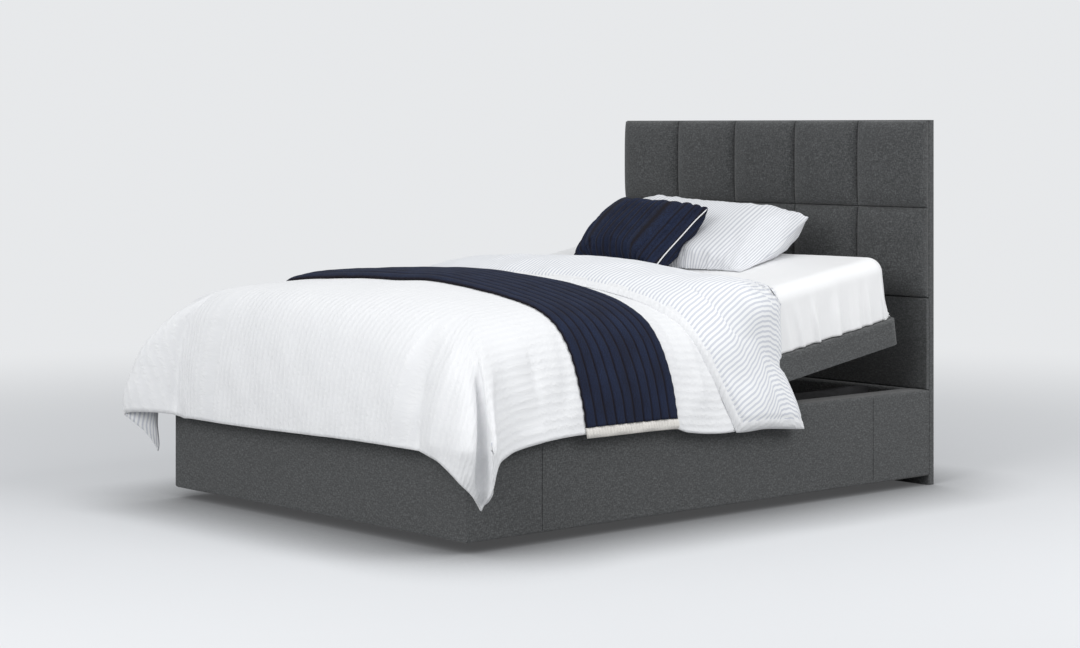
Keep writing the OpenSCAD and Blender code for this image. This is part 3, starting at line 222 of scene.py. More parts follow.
# %% A finish
class Finish(Nodes):
    """A material under construction. Names given to it set constants of its shader."""

    def __init__(self, name, **constants):
        self.material = bpy.data.materials.new(name)
        self.material.use_nodes = True
        super().__init__(self.material.node_tree)
        self.shader = self.tree.nodes["Principled BSDF"]
        self.set(**constants)

    def set(self, **values):
        for key, value in values.items():
            self.feed(self.shader.inputs[key.replace("_", " ")], value)

    def place(self):
        """Where a point is, in metres. Every piece's own frame is the bed's frame."""
        return self.node("TexCoord", out="Object")

    def cloth(self):
        """Where a point is on its own cloth, in metres, as the piece's mesh stores it"""
        return self.node("Attribute", {"attribute_name": "cloth"}, out="Vector")

    def parts(self, vector):
        """The three numbers of a vector"""
        outputs = self.node("SeparateXYZ", None, {0: vector}).socket.node.outputs
        return [Value(self, outputs[i]) for i in range(3)]

    def stretch(self, vector, by):
        return self.node("VectorMath", {"operation": "MULTIPLY"}, {0: vector, 1: by})

    def noise(self, vector, scale, detail=2.0, rough=0.5, turn=0.0):
        return self.node("TexNoise", None, {"Vector": vector, "Scale": scale, "Detail": detail,
                                            "Roughness": rough, "Distortion": turn})

    def blend(self, share, first, second):
        """A colour from two, mixed by a share"""
        return self.node("Mix", {"data_type": "RGBA"}, {0: share, 6: first, 7: second}, out=2)

    def ramp(self, value, *stops):
        return self.node("ValToRGB", {"stops": stops}, {0: value})

    def wave(self, value, pitch):
        """A smooth wave of a length in metres, from 0 to 1"""
        turned = value * (2 * math.pi / pitch)
        return self.node("Math", {"operation": "SINE"}, {0: turned}) * 0.5 + 0.5

    def bump(self, height, distance, strength=1.0, under=None):
        """A bump: a height from 0 to 1, how deep that is in metres, and a bump it lies over"""
        inputs = {"Height": height, "Distance": distance, "Strength": strength}
        if under is not None:
            inputs["Normal"] = under
        return self.node("Bump", None, inputs)


FINISHES = {}


def keep(name, finish):
    """Puts a finish on the list that the pieces are painted from"""
    FINISHES[name] = finish.material
    return finish.material


print("a finish can use", [name for name in vars(Finish) if not name.startswith("_")])

# %% [markdown]
# The base and the headboard are covered in a heathered weave: dark and light threads that
# cross, a soft mottling where the dye took unevenly, and a fine bump from the threads. A
# picture of a weave would need unwrapping and would repeat, so the weave is worked out from
# where a point is.

# %% Upholstery weave
def upholstery():
    f = Finish("wool_grey_weave", Roughness=0.92, Sheen_Weight=0.15, Sheen_Roughness=0.6)
    at = f.place()
    down = f.noise(f.stretch(at, (1.0, 1.0, 0.45)), 330.0)
    cross = f.noise(f.stretch(at, (0.35, 0.35, 1.2)), 270.0)
    cloud = f.noise(at, 9.0, 3.0)
    threads = down * 0.55 + cross * 0.45
    tone = f.ramp(threads, (0.36, (0.022, 0.0233, 0.0240)), (0.50, (0.050, 0.0524, 0.0538)),
                  (0.64, (0.104, 0.108, 0.110)))
    f.set(Base_Color=f.blend(cloud * 0.35, tone, (0.044, 0.046, 0.048)),
          Normal=f.bump(threads, 0.0007, 0.55))
    return f


keep("upholstery", upholstery())
print(len(FINISHES), "finish")

# %% [markdown]
# The bed linen is a white seersucker: rows of tiny puckers run down the cloth. The puckers
# could be modelled, but at their size a bump looks the same and costs no faces. They follow
# each cloth's own measure, kept on the mesh as the attribute "cloth", so that the pattern
# bends with the folds.

# %% White linen
def puckers(f, cloth, pitch):
    """Height of the puckers of a seersucker, rows across the first direction"""
    across = f.parts(cloth)[0]
    drift = f.noise(f.stretch(cloth, (1.0, 1.0, 0.0)), 38.0, 1.0)
    rows = f.wave(across + drift * (pitch * 0.5), pitch)
    knots = f.noise(f.stretch(cloth, (1.0, 0.75, 0.0)), 115.0)
    return rows * (knots * 1.5 - 0.25)


def linen():
    f = Finish("white_seersucker", Roughness=0.88, Sheen_Weight=0.2)
    cloth = f.cloth()
    height = puckers(f, cloth, 0.0220)
    weave = f.noise(cloth, 900.0, 1.0)
    soft = f.noise(cloth, 26.0, 3.0)
    # painted shade: the white colour is darker where the puckers sink
    tone = f.blend(height * 0.6 + soft * 0.1, (0.765, 0.772, 0.788), (0.830, 0.834, 0.843))
    wide = f.bump(soft, 0.006, 0.35)
    f.set(Base_Color=tone, Normal=f.bump(height + weave * 0.2, 0.0026, 0.75, wide))
    return f


keep("linen", linen())
print(len(FINISHES), "finishes")

# %% [markdown]
# The underside of the duvet and the pillow are white cotton with fine grey-blue lines. A sine
# wave and a ramp make lines with soft sides, as woven stripes have, and a little noise lets
# them wander. The sheet is smoother than both and slightly shiny where it is stretched.

# %% Stripes and sheet cotton
def striped(name, pitch, dark, light):
    """White cotton with fine lines at a pitch"""
    f = Finish(name, Roughness=0.86, Sheen_Weight=0.15)
    cloth = f.cloth()
    wander = f.noise(cloth, 18.0, 1.0)
    wave = f.wave(f.parts(cloth)[0] + wander * (pitch * 0.12), pitch)
    line = f.node("RGBToBW", None, {0: f.ramp(wave, (0.42, 0.0), (0.80, 1.0))})
    thread = f.noise(f.stretch(cloth, (1.0, 0.3, 1.0)), 700.0)
    f.set(Base_Color=f.blend(line * (thread * 0.5 + 0.65), light, dark),
          Normal=f.bump(thread + line * 0.6, 0.0006, 0.6))
    return f


def sheet_cotton():
    f = Finish("sheet_cotton", Sheen_Weight=0.1)
    at = f.place()
    thread = f.noise(at, 1100.0)
    soft = f.noise(at, 12.0, 3.0)
    f.set(Base_Color=f.blend(soft * 0.5, (0.830, 0.832, 0.838), (0.790, 0.795, 0.805)),
          Roughness=soft * 0.2 + 0.52,
          Normal=f.bump(thread, 0.0003, 0.3, f.bump(soft, 0.004, 0.25)))
    return f


keep("fold_stripe", striped("turned_back_stripe", 0.0150, (0.56, 0.58, 0.64), (0.83, 0.84, 0.85)))
keep("pillow_stripe", striped("pillow_stripe", 0.0098, (0.50, 0.515, 0.56), (0.76, 0.77, 0.79)))
keep("sheet", sheet_cotton())
print(len(FINISHES), "finishes")

# %% [markdown]
# The throw and the small cushion are a deep navy knit with pleats. Their pleats are real
# shapes, made further on, and the finish only paints shade into the stitched valleys between
# them. A hint of red from the yarn makes that painted shade slightly warm. The cream
# ends of the throw, the mattress ticking and the dust cover are plain cloths of two tones.

# %% Navy knit and plain cloths
THROW_PLEATS, THROW_PLEAT = 10, 0.035  # count, and width of one on the cloth
CUSHION_PLEATS, CUSHION_WIDTH, CUSHION_DEPTH = 13, 0.480, 0.296
NAVY = ((0.0070, 0.0065, 0.0100), (0.0110, 0.0165, 0.0400), (0.0180, 0.0300, 0.0700))
# the painted shade of the pleat valleys, slightly warm
PAINTED_VALLEY_SHADE = (0.0060, 0.0035, 0.0045)


def knit(name, axis, pitch):
    """A navy knit, with painted shade in the stitched valleys between its pleats"""
    f = Finish(name, Roughness=0.9, Specular_IOR_Level=0.2)
    cloth = f.cloth()
    loops = f.noise(f.stretch(cloth, (1.0, 0.5, 1.0)), 620.0)
    cloud = f.noise(cloth, 14.0)
    tone = f.ramp(loops * 0.8 + cloud * 0.2, *zip((0.34, 0.52, 0.68), NAVY))
    # painted shade: the colour is darkened in the valleys between the pleats
    valley = f.wave(f.parts(cloth)[axis] + pitch / 4, pitch) ** 9
    f.set(Base_Color=f.blend(valley * 0.85, tone, PAINTED_VALLEY_SHADE), Normal=f.bump(loops, 0.0009, 0.7))
    return f


def plain_cloth(name, colour, other, scale, rough=0.85):
    """A woven cloth of two near tones"""
    f = Finish(name, Roughness=rough)
    thread = f.noise(f.place(), scale, 3.0)
    f.set(Base_Color=f.blend(thread, colour, other), Normal=f.bump(thread, 0.0005, 0.5))
    return f


for name, axis, pitch in (("throw_knit", 1, THROW_PLEAT),
                          ("cushion_knit", 0, CUSHION_WIDTH / CUSHION_PLEATS)):
    keep(name, knit(name, axis, pitch))
for name, *look in (("cream_trim", (0.62, 0.59, 0.55), (0.78, 0.76, 0.73), 420.0),
                    ("ticking", (0.70, 0.70, 0.70), (0.80, 0.80, 0.80), 600.0),
                    ("dust_cloth", (0.012, 0.012, 0.013), (0.028, 0.028, 0.030), 800.0, 0.95)):
    keep(name, plain_cloth(name, *look))
print(len(FINISHES), "finishes")

# %% [markdown]
# Under the bed and between the sections some joinery shows: bare plywood, painted angle
# rails, zinc and bright steel, moulded black plastic and rubber. One colour each would be
# quicker, but even, clean surfaces look like plastic toys. So each gets its own grain or
# brushing, which is a noise drawn out along one direction, and a roughness that varies.

# %% Wood, metal and plastic
EVEN, ALONG_GRAIN, BOARD_GRAIN, BRUSHED = (1, 1, 1), (1, 0.12, 3), (1, 0.3, 1), (1, 0.05, 1)


def hard(name, dark, light, scale, drawn, rough, spread, depth, metal=0.0):
    """A hard finish: two colours over a noise that may be drawn out into grain"""
    f = Finish(name, Metallic=metal)
    grain = f.noise(f.stretch(f.place(), drawn), scale, 4.0, 0.55, 0.3)
    smear = f.noise(f.place(), 16.0, 3.0)
    f.set(Base_Color=f.ramp(grain, (0.30, dark), (0.70, light)),
          Roughness=smear * spread + rough, Normal=f.bump(grain, depth, 0.4))
    return f


for name, *look in (
        ("plywood", (0.36, 0.25, 0.15), (0.56, 0.42, 0.28), 30, ALONG_GRAIN, 0.55, 0.2, 0.0008),
        ("dark_board", (0.020, 0.020, 0.022), (0.040, 0.040, 0.043), 90, BOARD_GRAIN,
         0.5, 0.2, 0.0004),
        ("zinc", (0.50, 0.52, 0.54), (0.68, 0.70, 0.72), 24, EVEN, 0.32, 0.2, 0.0002, 1.0),
        ("bright_steel", (0.62, 0.63, 0.65), (0.74, 0.75, 0.77), 60, BRUSHED,
         0.2, 0.15, 0.0002, 1.0),
        ("frame_paint", (0.018, 0.019, 0.020), (0.032, 0.033, 0.035), 220, EVEN,
         0.38, 0.2, 0.0003),
        ("black_plastic", (0.016, 0.016, 0.018), (0.026, 0.026, 0.029), 500, EVEN,
         0.42, 0.15, 0.0003),
        ("motor_shell", (0.10, 0.105, 0.11), (0.16, 0.165, 0.17), 400, EVEN, 0.45, 0.15, 0.0003),
        ("rubber", (0.014, 0.014, 0.014), (0.024, 0.024, 0.024), 300, EVEN, 0.7, 0.15, 0.0004)):
    keep(name, hard(name, *look))
print(len(FINISHES), "finishes")

# %% [markdown]
# The rigid parts are ready as they come from the CAD model, and only need their finishes. The
# record says which slot each CAD node takes its finish from, so the nodes are painted by slot
# and not one by one. Assigning a material changes nothing in the CAD mesh itself.

# %% Finishes of the CAD nodes
SLOT_FINISH = {
    "upholstery": "upholstery", "bare_wood": "plywood", "dark_board": "dark_board",
    "dust_cloth": "dust_cloth", "black_plastic": "black_plastic", "motor_shell": "motor_shell",
    "gland_rubber": "rubber", "zinc_steel": "zinc", "bright_steel": "bright_steel",
    "frame_paint": "frame_paint", "mattress_ticking": "ticking", "white_sheet": "sheet",
    "duvet_white": "linen", "duvet_stripe": "fold_stripe", "throw_navy": "throw_knit",
    "pillow_stripe": "pillow_stripe", "cushion_navy": "cushion_knit"}


def paint(obj, *names):
    obj.data.materials.clear()
    for name in names:
        obj.data.materials.append(FINISHES[name])


subparts = frame["record"]["subparts"]
for entry in subparts:
    paint(frame["nodes"][entry["node"]], SLOT_FINISH[entry["material_slot"]])
print(len(subparts), "CAD nodes painted")

# %% [markdown]
# Every soft piece starts as a grid of points: one direction across the bed, the other along
# it. Its form is drawn with smooth curves through a few points, and with smooth steps that
# blend one form into another. Sculpting would do too, but then a size can't be changed later.

# %% Curves and steps
def lerp(first, second, share):
    return first + (second - first) * share


def ease(value, low, high):
    """A smooth step from 0 at low to 1 at high"""
    t = np.clip((value - low) / (high - low), 0, 1)
    return t * t * (3 - 2 * t)


def hill(value, middle, width):
    """1 at the middle, falling off smoothly to both sides"""
    return np.exp(-((value - middle) / width) ** 2)


def even_steps(low, high, pitch):
    return np.linspace(low, high, max(2, int(round((high - low) / pitch)) + 1))


def smooth_line(points):
    """A smooth curve through points, as a function of the length along it"""
    p = np.array(points, float)
    p = np.vstack([2 * p[0] - p[1], p, 2 * p[-1] - p[-2]])
    t = np.linspace(0, 1, 24, endpoint=False)[:, None]
    dense = [0.5 * (2 * b + (c - a) * t + (2 * a - 5 * b + 4 * c - d) * t ** 2
                    + (3 * b - a - 3 * c + d) * t ** 3)
             for a, b, c, d in zip(p, p[1:], p[2:], p[3:])]
    dense = np.vstack(dense + [p[-2][None]])
    steps = np.linalg.norm(np.diff(dense, axis=0), axis=1)
    length = np.concatenate([[0], np.cumsum(steps)])

    def at(along):
        return [np.interp(along, length, dense[:, i]) for i in range(dense.shape[1])]
    at.total = length[-1]
    return at


print("a quarter circle through three points:",
      round(smooth_line([(0, 1), (0.5 ** 0.5, 0.5 ** 0.5), (1, 0)]).total, 3), "long")

# %% [markdown]
# Two grids, an outer and an inner one, joined round the rim, make a closed cloth with a real
# thickness. A thickness modifier could add the second side too, but here the hem has to be
# thin and the middle full, and the two sides take different finishes.

# %% Shells
def grid_normals(grid):
    n = np.cross(np.gradient(grid, axis=1), np.gradient(grid, axis=0))
    return n / np.maximum(np.linalg.norm(n, axis=-1, keepdims=True), 1e-12)


def mesh_object(name, points, faces, smooth=True):
    mesh = bpy.data.meshes.new(name)
    mesh.from_pydata(points.tolist(), [], faces)
    if smooth:
        mesh.shade_smooth()
    made = bpy.data.objects.new(name, mesh)
    scene.collection.objects.link(made)
    return made


def mark_cloth(made, cloth):
    """Stores each point's place on its own cloth, which the finishes read"""
    held = made.data.attributes.get("cloth")
    if held is not None:
        made.data.attributes.remove(held)
    held = made.data.attributes.new("cloth", "FLOAT_VECTOR", "POINT")
    held.data.foreach_set("vector", cloth.astype(np.float32).ravel())


def shell_faces(m, n):
    """Faces of an outer and an inner grid of m by n points, joined round the rim"""
    at = np.arange(m * n).reshape(m, n)
    quads = np.stack([at[:-1, :-1], at[:-1, 1:], at[1:, 1:], at[1:, :-1]], -1).reshape(-1, 4)
    rim = np.concatenate([at[0, :], at[1:, -1], at[-1, -2::-1], at[-2:0:-1, 0]])
    after = np.roll(rim, -1)
    hem = np.stack([rim, rim + m * n, after + m * n, after], -1)
    return np.concatenate([quads, quads[:, ::-1] + m * n, hem])


def shell(name, outer, inner, a, v, finishes, pick=None):
    """A closed cloth from an outer and an inner grid. Its inner side takes the last finish,
    and pick says, for each outer face, which finish it takes."""
    m, n = outer.shape[:2]
    faces = shell_faces(m, n)
    cloth = np.stack([a, v, np.zeros_like(a)], -1).reshape(-1, 3)
    made = mesh_object(name, np.concatenate([outer.reshape(-1, 3), inner.reshape(-1, 3)]),
                       faces.tolist())
    mark_cloth(made, np.concatenate([cloth, cloth]))
    paint(made, *finishes)
    side = (m - 1) * (n - 1)
    chosen = np.zeros(len(faces), np.int32)
    if pick is not None:
        chosen[:side] = pick
    chosen[side:2 * side] = len(finishes) - 1
    made.data.polygons.foreach_set("material_index", chosen)
    print(name, len(faces), "faces")
    return made


print("a shell of 3 by 3 points has", len(shell_faces(3, 3)), "faces")

# %% [markdown]
# Real cloth is never quite even. Wide, low swells come from a few slanted waves, seeded so
# that each run draws the same ones. A crease is a line on the cloth with a rounded ridge or
# valley along it. Both are heights in metres, which are added off the smooth surface.

# %% Swells and creases
def swells(a, v, seed, size, height):
    """Soft uneven swells of about one size: a few slanted waves, the same for each seed"""
    waves = 8
    draw = np.random.default_rng(seed)
    total = np.zeros_like(a)
    for _ in range(waves):
        turn = draw.uniform(0, math.pi)
        pitch = 2 * math.pi / (size * draw.uniform(0.7, 1.5))
        slant = a * math.cos(turn) + v * math.sin(turn)
        total = total + np.sin(pitch * slant + draw.uniform(0, 6.28))
    return height * total / waves ** 0.5


def crease(a, v, start, end, width, height):
    """A ridge, or a valley where the height is negative, along a line on the cloth"""
    p, q = np.array(start, float), np.array(end, float)
    d = q - p
    along = np.clip(((a - p[0]) * d[0] + (v - p[1]) * d[1]) / (d @ d), 0, 1)
    off = np.hypot(a - p[0] - along * d[0], v - p[1] - along * d[1])
    fade = ease(along, 0, 0.35) * ease(1 - along, 0, 0.12)  # from its start, and near its end
    return height * hill(off, 0, width) * fade


sample = swells(*np.mgrid[0:2:0.02, 0:2:0.02], 1, 0.3, 1)
print("swells of 1 mm reach", round(float(sample.max()), 2), "mm")

# %% [markdown]
# The duvet lies domed over the mattress and slants outwards as it hangs, so its side is a
# curve and not a corner. A cloth simulation gives some fall of the cloth, but never the one
# in the photograph, so the curves are drawn. Each is a list of (outwards, down) past the line
# where the duvet starts to turn down: the near side slants and the far side stands full.

# %% How the duvet hangs
EDGE_X = 0.43  # where the side starts to turn down
EDGE_S = 0.24  # where the foot end starts to turn down
CROWN = 0.672  # height of the duvet's middle
HEM_NEAR, HEM_FAR, HEM_FOOT = 0.457, 0.500, 0.470  # cloth from the edge lines to the hems
FOOT_MORE_NEAR, FOOT_MORE_FAR = 0.040, 0.108  # what the foot's hem has more at its two ends

NEAR_SIDE = smooth_line([(0, 0), (0.07, 0.004), (0.13, 0.016), (0.18, 0.038), (0.22, 0.076),
                         (0.248, 0.130), (0.268, 0.190), (0.282, 0.250), (0.292, 0.310),
                         (0.300, 0.40), (0.305, 0.50)])
FAR_SIDE = smooth_line([(0, 0), (0.10, 0.0), (0.17, 0.001), (0.23, 0.007), (0.268, 0.032),
                        (0.288, 0.070), (0.300, 0.130), (0.307, 0.200), (0.311, 0.270),
                        (0.314, 0.340), (0.317, 0.45), (0.319, 0.55)])
NEAR_FOOT = smooth_line([(0, 0), (0.07, 0.005), (0.13, 0.018), (0.18, 0.042), (0.22, 0.082),
                         (0.245, 0.132), (0.262, 0.190), (0.274, 0.250), (0.282, 0.310),
                         (0.288, 0.40), (0.292, 0.50)])
FAR_FOOT = smooth_line([(0, 0), (0.09, 0.002), (0.15, 0.008), (0.195, 0.028), (0.225, 0.065),
                        (0.245, 0.120), (0.260, 0.185), (0.270, 0.250), (0.277, 0.320),
                        (0.282, 0.40), (0.286, 0.50)])
print("the near hem is", round(float(NEAR_SIDE(HEM_NEAR)[1]), 3), "m under the edge line")

# %% [markdown]
# Past a side and the foot at once, the duvet has more cloth than a corner needs, and the
# spare cloth stands out as an ear. The near ear has two lobes with a valley between them, and
# the far ear one. How far they reach is given at heights above the floor, because that is
# what shows in the photograph.

# %% The corner ears
EAR_HEIGHT = [0.02, 0.10, 0.155, 0.218, 0.288, 0.34, 0.40, 0.477, 0.55, 0.60]
NEAR_REACH = [0.085, 0.090, 0.105, 0.130, 0.150, 0.130, 0.090, 0.045, 0.010, 0.0]
FAR_REACH = [0.060, 0.070, 0.090, 0.140, 0.158, 0.150, 0.132, 0.098, 0.050, 0.010]
EAR_ACROSS, EAR_ALONG = 0.76, 0.65  # the way in which an ear stands out
LEAN_ACROSS, LEAN_ALONG = 0.67, 0.75  # the way in which the near one leans


def ear_out(turn, near):
    """How far a corner's spare cloth stands out, from the side (0) round to the foot (90)"""
    deg = np.degrees(turn)
    near_ear = (0.24 * ease(deg, 4, 10) * ease(90 - deg, 5, 11)
                + 0.62 * ease(deg, 8, 28) * ease(90 - deg, 9, 28) - 0.42 * hill(deg, 46, 6))
    far_ear = ease(90 - deg, 16, 36) * (0.25 * ease(deg, 4, 30) + 0.78 * hill(deg, 58, 11))
    return np.where(near, near_ear, far_ear)


def ear_reach(z, near):
    return np.where(near, np.interp(z, EAR_HEIGHT, NEAR_REACH), np.interp(z, EAR_HEIGHT, FAR_REACH))


print("the ears reach", max(NEAR_REACH), "and", max(FAR_REACH), "m past a round corner")

# %% [markdown]
# One function gives the duvet's outer surface from two lengths along the cloth: a across the
# bed from its middle, and v along the bed. A length and not a place is the measure, because
# cloth keeps its lengths when it falls, and the pattern then lies on it as it was printed.

# %% The duvet's surface
DOME_NEAR, DOME_FAR = 0.205, 0.07  # fall from the middle to a side, at 1 m, as a square grows
FOOT_SLOPE, SLOPE_NEAR, SLOPE_FAR = 0.40, 0.35, 0.15  # place where it falls towards the foot
DROOP, NEAR_LEAN = 0.165, 0.062  # of the spare cloth at a corner


def duvet_surface(a, v, crown=CROWN):
    """The duvet's outer surface before its folds, in lengths from the foot panel's face"""
    past_side = np.maximum(np.abs(a) - EDGE_X, 0)
    past_foot = np.maximum(EDGE_S - v, 0)
    turn = np.arctan2(past_foot, past_side)
    corner = np.sin(2 * turn) ** 2
    length = np.hypot(past_side, past_foot)
    tip = np.where(a > 0, 0.84 * ease(length, 0.30, 0.52) - 0.46 * ease(length, 0.54, 0.70),
                   1.45 * ease(length, 0.50, 0.72))
    run = length * (1 - DROOP * corner * (1 - tip))  # the spare cloth droops to a tip
    near = ease(a, -0.45, 0.45)
    side = [np.where(a > 0, *pair) for pair in zip(NEAR_SIDE(run), FAR_SIDE(run))]
    foot = [lerp(far, close, near) for close, far in zip(NEAR_FOOT(run), FAR_FOOT(run))]
    share = np.sin(turn) ** 2
    out, drop = [lerp(first, second, share) for first, second in zip(side, foot)]
    power = 2 / (2 + 3.0 * ease(run, 0.02, 0.22))
    x = np.minimum(np.abs(a), EDGE_X) + out * np.cos(turn) ** power
    s = np.maximum(v, EDGE_S) - out * np.clip(np.sin(turn), 0, 1) ** power
    dome = np.where(a > 0, DOME_NEAR, DOME_FAR) * x ** 2 * (1 - share * ease(drop, 0.0, 0.30))
    slope = lerp(SLOPE_FAR, SLOPE_NEAR, near) * np.maximum(FOOT_SLOPE - s, 0) ** 2
    z = crown - dome - slope - drop
    ear = ear_reach(z, a > 0) * ear_out(turn, a > 0) * (corner > 0)
    lean = NEAR_LEAN * corner * ease(length, 0.10, 0.50) * (a > 0)  # the near ear hangs to the side
    x = x + ear * EAR_ACROSS + lean * LEAN_ACROSS
    s = s - ear * EAR_ALONG + lean * LEAN_ALONG
    return np.stack([np.where(a < 0, -x, x), s, z], -1)


def foot_row(a, v):
    """Draws the rows past the foot's edge out, so that the hem there hangs level"""
    more = lerp(FOOT_MORE_FAR, FOOT_MORE_NEAR, ease(a, -EDGE_X, EDGE_X))
    more = more * ease(-a, EDGE_X + 0.50, EDGE_X + 0.10)
    held = np.maximum(EDGE_S - v, 0)
    return v - more * held / HEM_FOOT


for where, a, v in (("middle", 0, 0.5), ("near hem", EDGE_X + HEM_NEAR, 0.5),
                    ("far hem", -EDGE_X - HEM_FAR, 0.5), ("foot hem", 0, EDGE_S - HEM_FOOT)):
    print(where, duvet_surface(np.array([a]), np.array([v])).round(3).tolist())

# %% [markdown]
# The bed is shown with its back raised a little. The soft pieces are worked out for a flat
# bed, which is simpler, and then turned about the back section's hinge. A stiff piece turns
# as a whole. The duvet bends over a length, as cloth does over a hinge.

# %% Raising the back
HINGE = (0.81, 0.3735)  # the back section's hinge: place along the bed, height
REST_ANGLE = math.radians(9.2)
KNEE_ZONE, SEAT_ZONE, BACK_ZONE = (0.25, 0.43), (0.45, 0.65), (0.65, 1.09)  # where cloth bends


def raised(y, z, turn):
    """Turns places along the bed and heights about the back section's hinge"""
    y, z = y - HINGE[0], z - HINGE[1]
    return (HINGE[0] + y * np.cos(turn) - z * np.sin(turn),
            HINGE[1] + y * np.sin(turn) + z * np.cos(turn))


def lifted(points, v):
    """The cloth bends up over the seat section and then lies on the raised back"""
    y, z = raised(points[..., 1], points[..., 2], REST_ANGLE * ease(v, *BACK_ZONE))
    return np.stack([points[..., 0], y, z], -1)


def placed(points):
    """From lengths along the bed to the bed's own frame"""
    return points + np.array([0, FOOT_PLACE, 0])


def points_of(made):
    co = np.zeros(len(made.data.vertices) * 3)
    made.data.vertices.foreach_get("co", co)
    return co.reshape(-1, 3)


def set_points(made, co):
    made.data.vertices.foreach_set("co", co.ravel())
    made.data.update()


def lay_on_back(made):
    """Turns a piece that was built on the flat bed with the raised back"""
    co = points_of(made)
    y, z = raised(co[:, 1] - FOOT_PLACE, co[:, 2], REST_ANGLE)
    set_points(made, np.stack([co[:, 0], FOOT_PLACE + y, z], 1))


print("1 m behind the hinge the deck rises by",
      round(float(raised(HINGE[0] + 1, HINGE[1], REST_ANGLE)[1]) - HINGE[1], 3), "m")

# %% [markdown]
# The floor is plain and pale. A floor that only catches shadows would need a compositor, so
# this one is a real plane. Part of its shader is a plain glow in the backdrop's colour, and
# further out that takes over, so the floor meets the sky without a line. Close under the bed,
# where little air is open above it, a painted shade darkens its colour, so the shadow there
# stays deep.

# %% The floor
OPEN_AIR = 0.40  # how far the floor looks for things above it
# the floor's own colour, and the painted shade that darkens it close under the bed
BARE_FLOOR, PAINTED_SHADE_FLOOR = (0.685, 0.695, 0.712), (0.11, 0.112, 0.116)
FLOOR_LIGHT = (0.42, 0.425, 0.43)  # the floor's colour as the bed is lit by it
GLOW_FROM, GLOW_TO, LEAST_GLOW = 1.6, 5.5, 0.08


def studio_floor(half):
    corners = [(-half, -half, 0), (half, -half, 0), (half, half, 0), (-half, half, 0)]
    made = mesh_object("studio_floor", np.array(corners, float), [[0, 1, 2, 3]], smooth=False)
    f = Finish("studio_floor", Roughness=1.0, Specular_IOR_Level=0.0)
    unshaded_share = f.node("AmbientOcclusion", {"samples": 12}, {"Distance": OPEN_AIR}, out="AO")
    # painted shade: the floor's colour darkens where ambient occlusion finds the bed close above
    f.set(Base_Color=f.blend(unshaded_share ** 2.0, PAINTED_SHADE_FLOOR, BARE_FLOOR))
    dim = f.node("BsdfDiffuse", None, {"Color": FLOOR_LIGHT})
    x, y, _ = f.parts(f.place())
    far = (x * x + y * y) ** 0.5
    share = f.node("MapRange", {"interpolation_type": "SMOOTHSTEP"},
                   {"Value": far, "From Min": GLOW_FROM, "From Max": GLOW_TO,
                    "To Min": LEAST_GLOW, "To Max": 1.0})
    glow = f.node("Emission", None, {"Color": BACKDROP, "Strength": 1.0})
    seen = f.node("MixShader", None, {0: share, 1: Value(f, f.shader.outputs[0]), 2: glow})
    path = f.node("LightPath", out="Is Camera Ray")
    f.show("Material Output", f.node("MixShader", None, {0: path, 1: dim, 2: seen}))
    made.data.materials.append(keep("floor", f))


studio_floor(40.0)
print("floor staged,", len(FINISHES), "finishes")

# %% [markdown]
# A mattress of an adjustable bed bends at the deck's hinges. One block that bends would crease
# there, so four blocks with slanted ends stand for it, one on each deck section, as in the CAD
# model. Each block is a rounded tube of cross-sections, softer at its shoulders where the
# duvet draws it down.

# %% Cross-sections of the mattress
DECK_TOP, MATTRESS_TOP = 0.3805, 0.5755
SOFT_HALF, SOFT_R = 0.640, 0.180  # half width and shoulder under the duvet
FIRM_HALF, FIRM_R = 0.668, 0.045  # the same where only the sheet lies over it
FIRM_FROM, FIRM_AT = 1.02, 1.12  # where the shoulder changes from the one to the other
BEVEL = 0.012  # of the lower edges


def ring(half, radius, top):
    """A cross-section of the mattress, from its lower right corner over to its lower left"""
    turn = np.linspace(0, math.pi / 2, 14)
    rise = np.linspace(DECK_TOP + BEVEL, top - radius, 6, endpoint=False)
    side = np.stack([np.full_like(rise, half), rise], 1)
    corner = np.stack([half + radius * (np.cos(turn) - 1), top + radius * (np.sin(turn) - 1)], 1)
    across = np.linspace(half - radius, 0, 12)[1:]
    flat = np.stack([across, np.full_like(across, top)], 1)
    right = np.vstack([[[half - BEVEL, DECK_TOP]], side, corner, flat])
    right[:, 1] = np.maximum(right[:, 1], DECK_TOP)
    return np.vstack([right, right[-2::-1] * [-1, 1]])


def tube(name, rings, finish):
    """A closed form from cross-sections in a row, each a ring of points"""
    m, n = rings.shape[:2]
    at = np.arange(m * n).reshape(m, n)
    after = np.roll(at, -1, axis=1)
    sides = np.stack([at[:-1], at[1:], after[1:], after[:-1]], -1).reshape(-1, 4)
    ends = [at[0].tolist(), at[-1, ::-1].tolist()]
    made = mesh_object(name, rings.reshape(-1, 3), sides.tolist() + ends)
    paint(made, finish)
    return made


print(len(ring(SOFT_HALF, SOFT_R, MATTRESS_TOP)), "points in a cross-section")

# %% [markdown]
# A block is a list of cross-sections with their places. Where two blocks meet at a hinge, a
# lean makes their ends slant, so that they open as a V and don't cut into each other. The
# two free ends are rounded off by rows that draw in.

# %% Mattress blocks
MATTRESS_FOOT, MATTRESS_END = 0.015, 1.755
KNEE_HINGE, SEAT_HINGE, BACK_HINGE = 0.330, 0.610, HINGE[0]
GAP = 0.006  # from a hinge to a block
FOOT_ROUND = 0.18  # length of the soft end under the duvet's foot
LEAN_LEG, LEAN_BACK = math.tan(math.radians(16)), math.tan(math.radians(31))
END_ROWS = np.linspace(0, 1, 8)


def block(name, rows):
    """A block from rows of (place, half width, shoulder, top, lean)"""
    rings = []
    for place, half, radius, top, lean in rows:
        section = ring(half, radius, top)
        along = FOOT_PLACE + place + lean * (section[:, 1] - DECK_TOP)
        rings.append(np.stack([section[:, 0], along, section[:, 1]], 1))
    return tube(name, np.array(rings), "ticking")


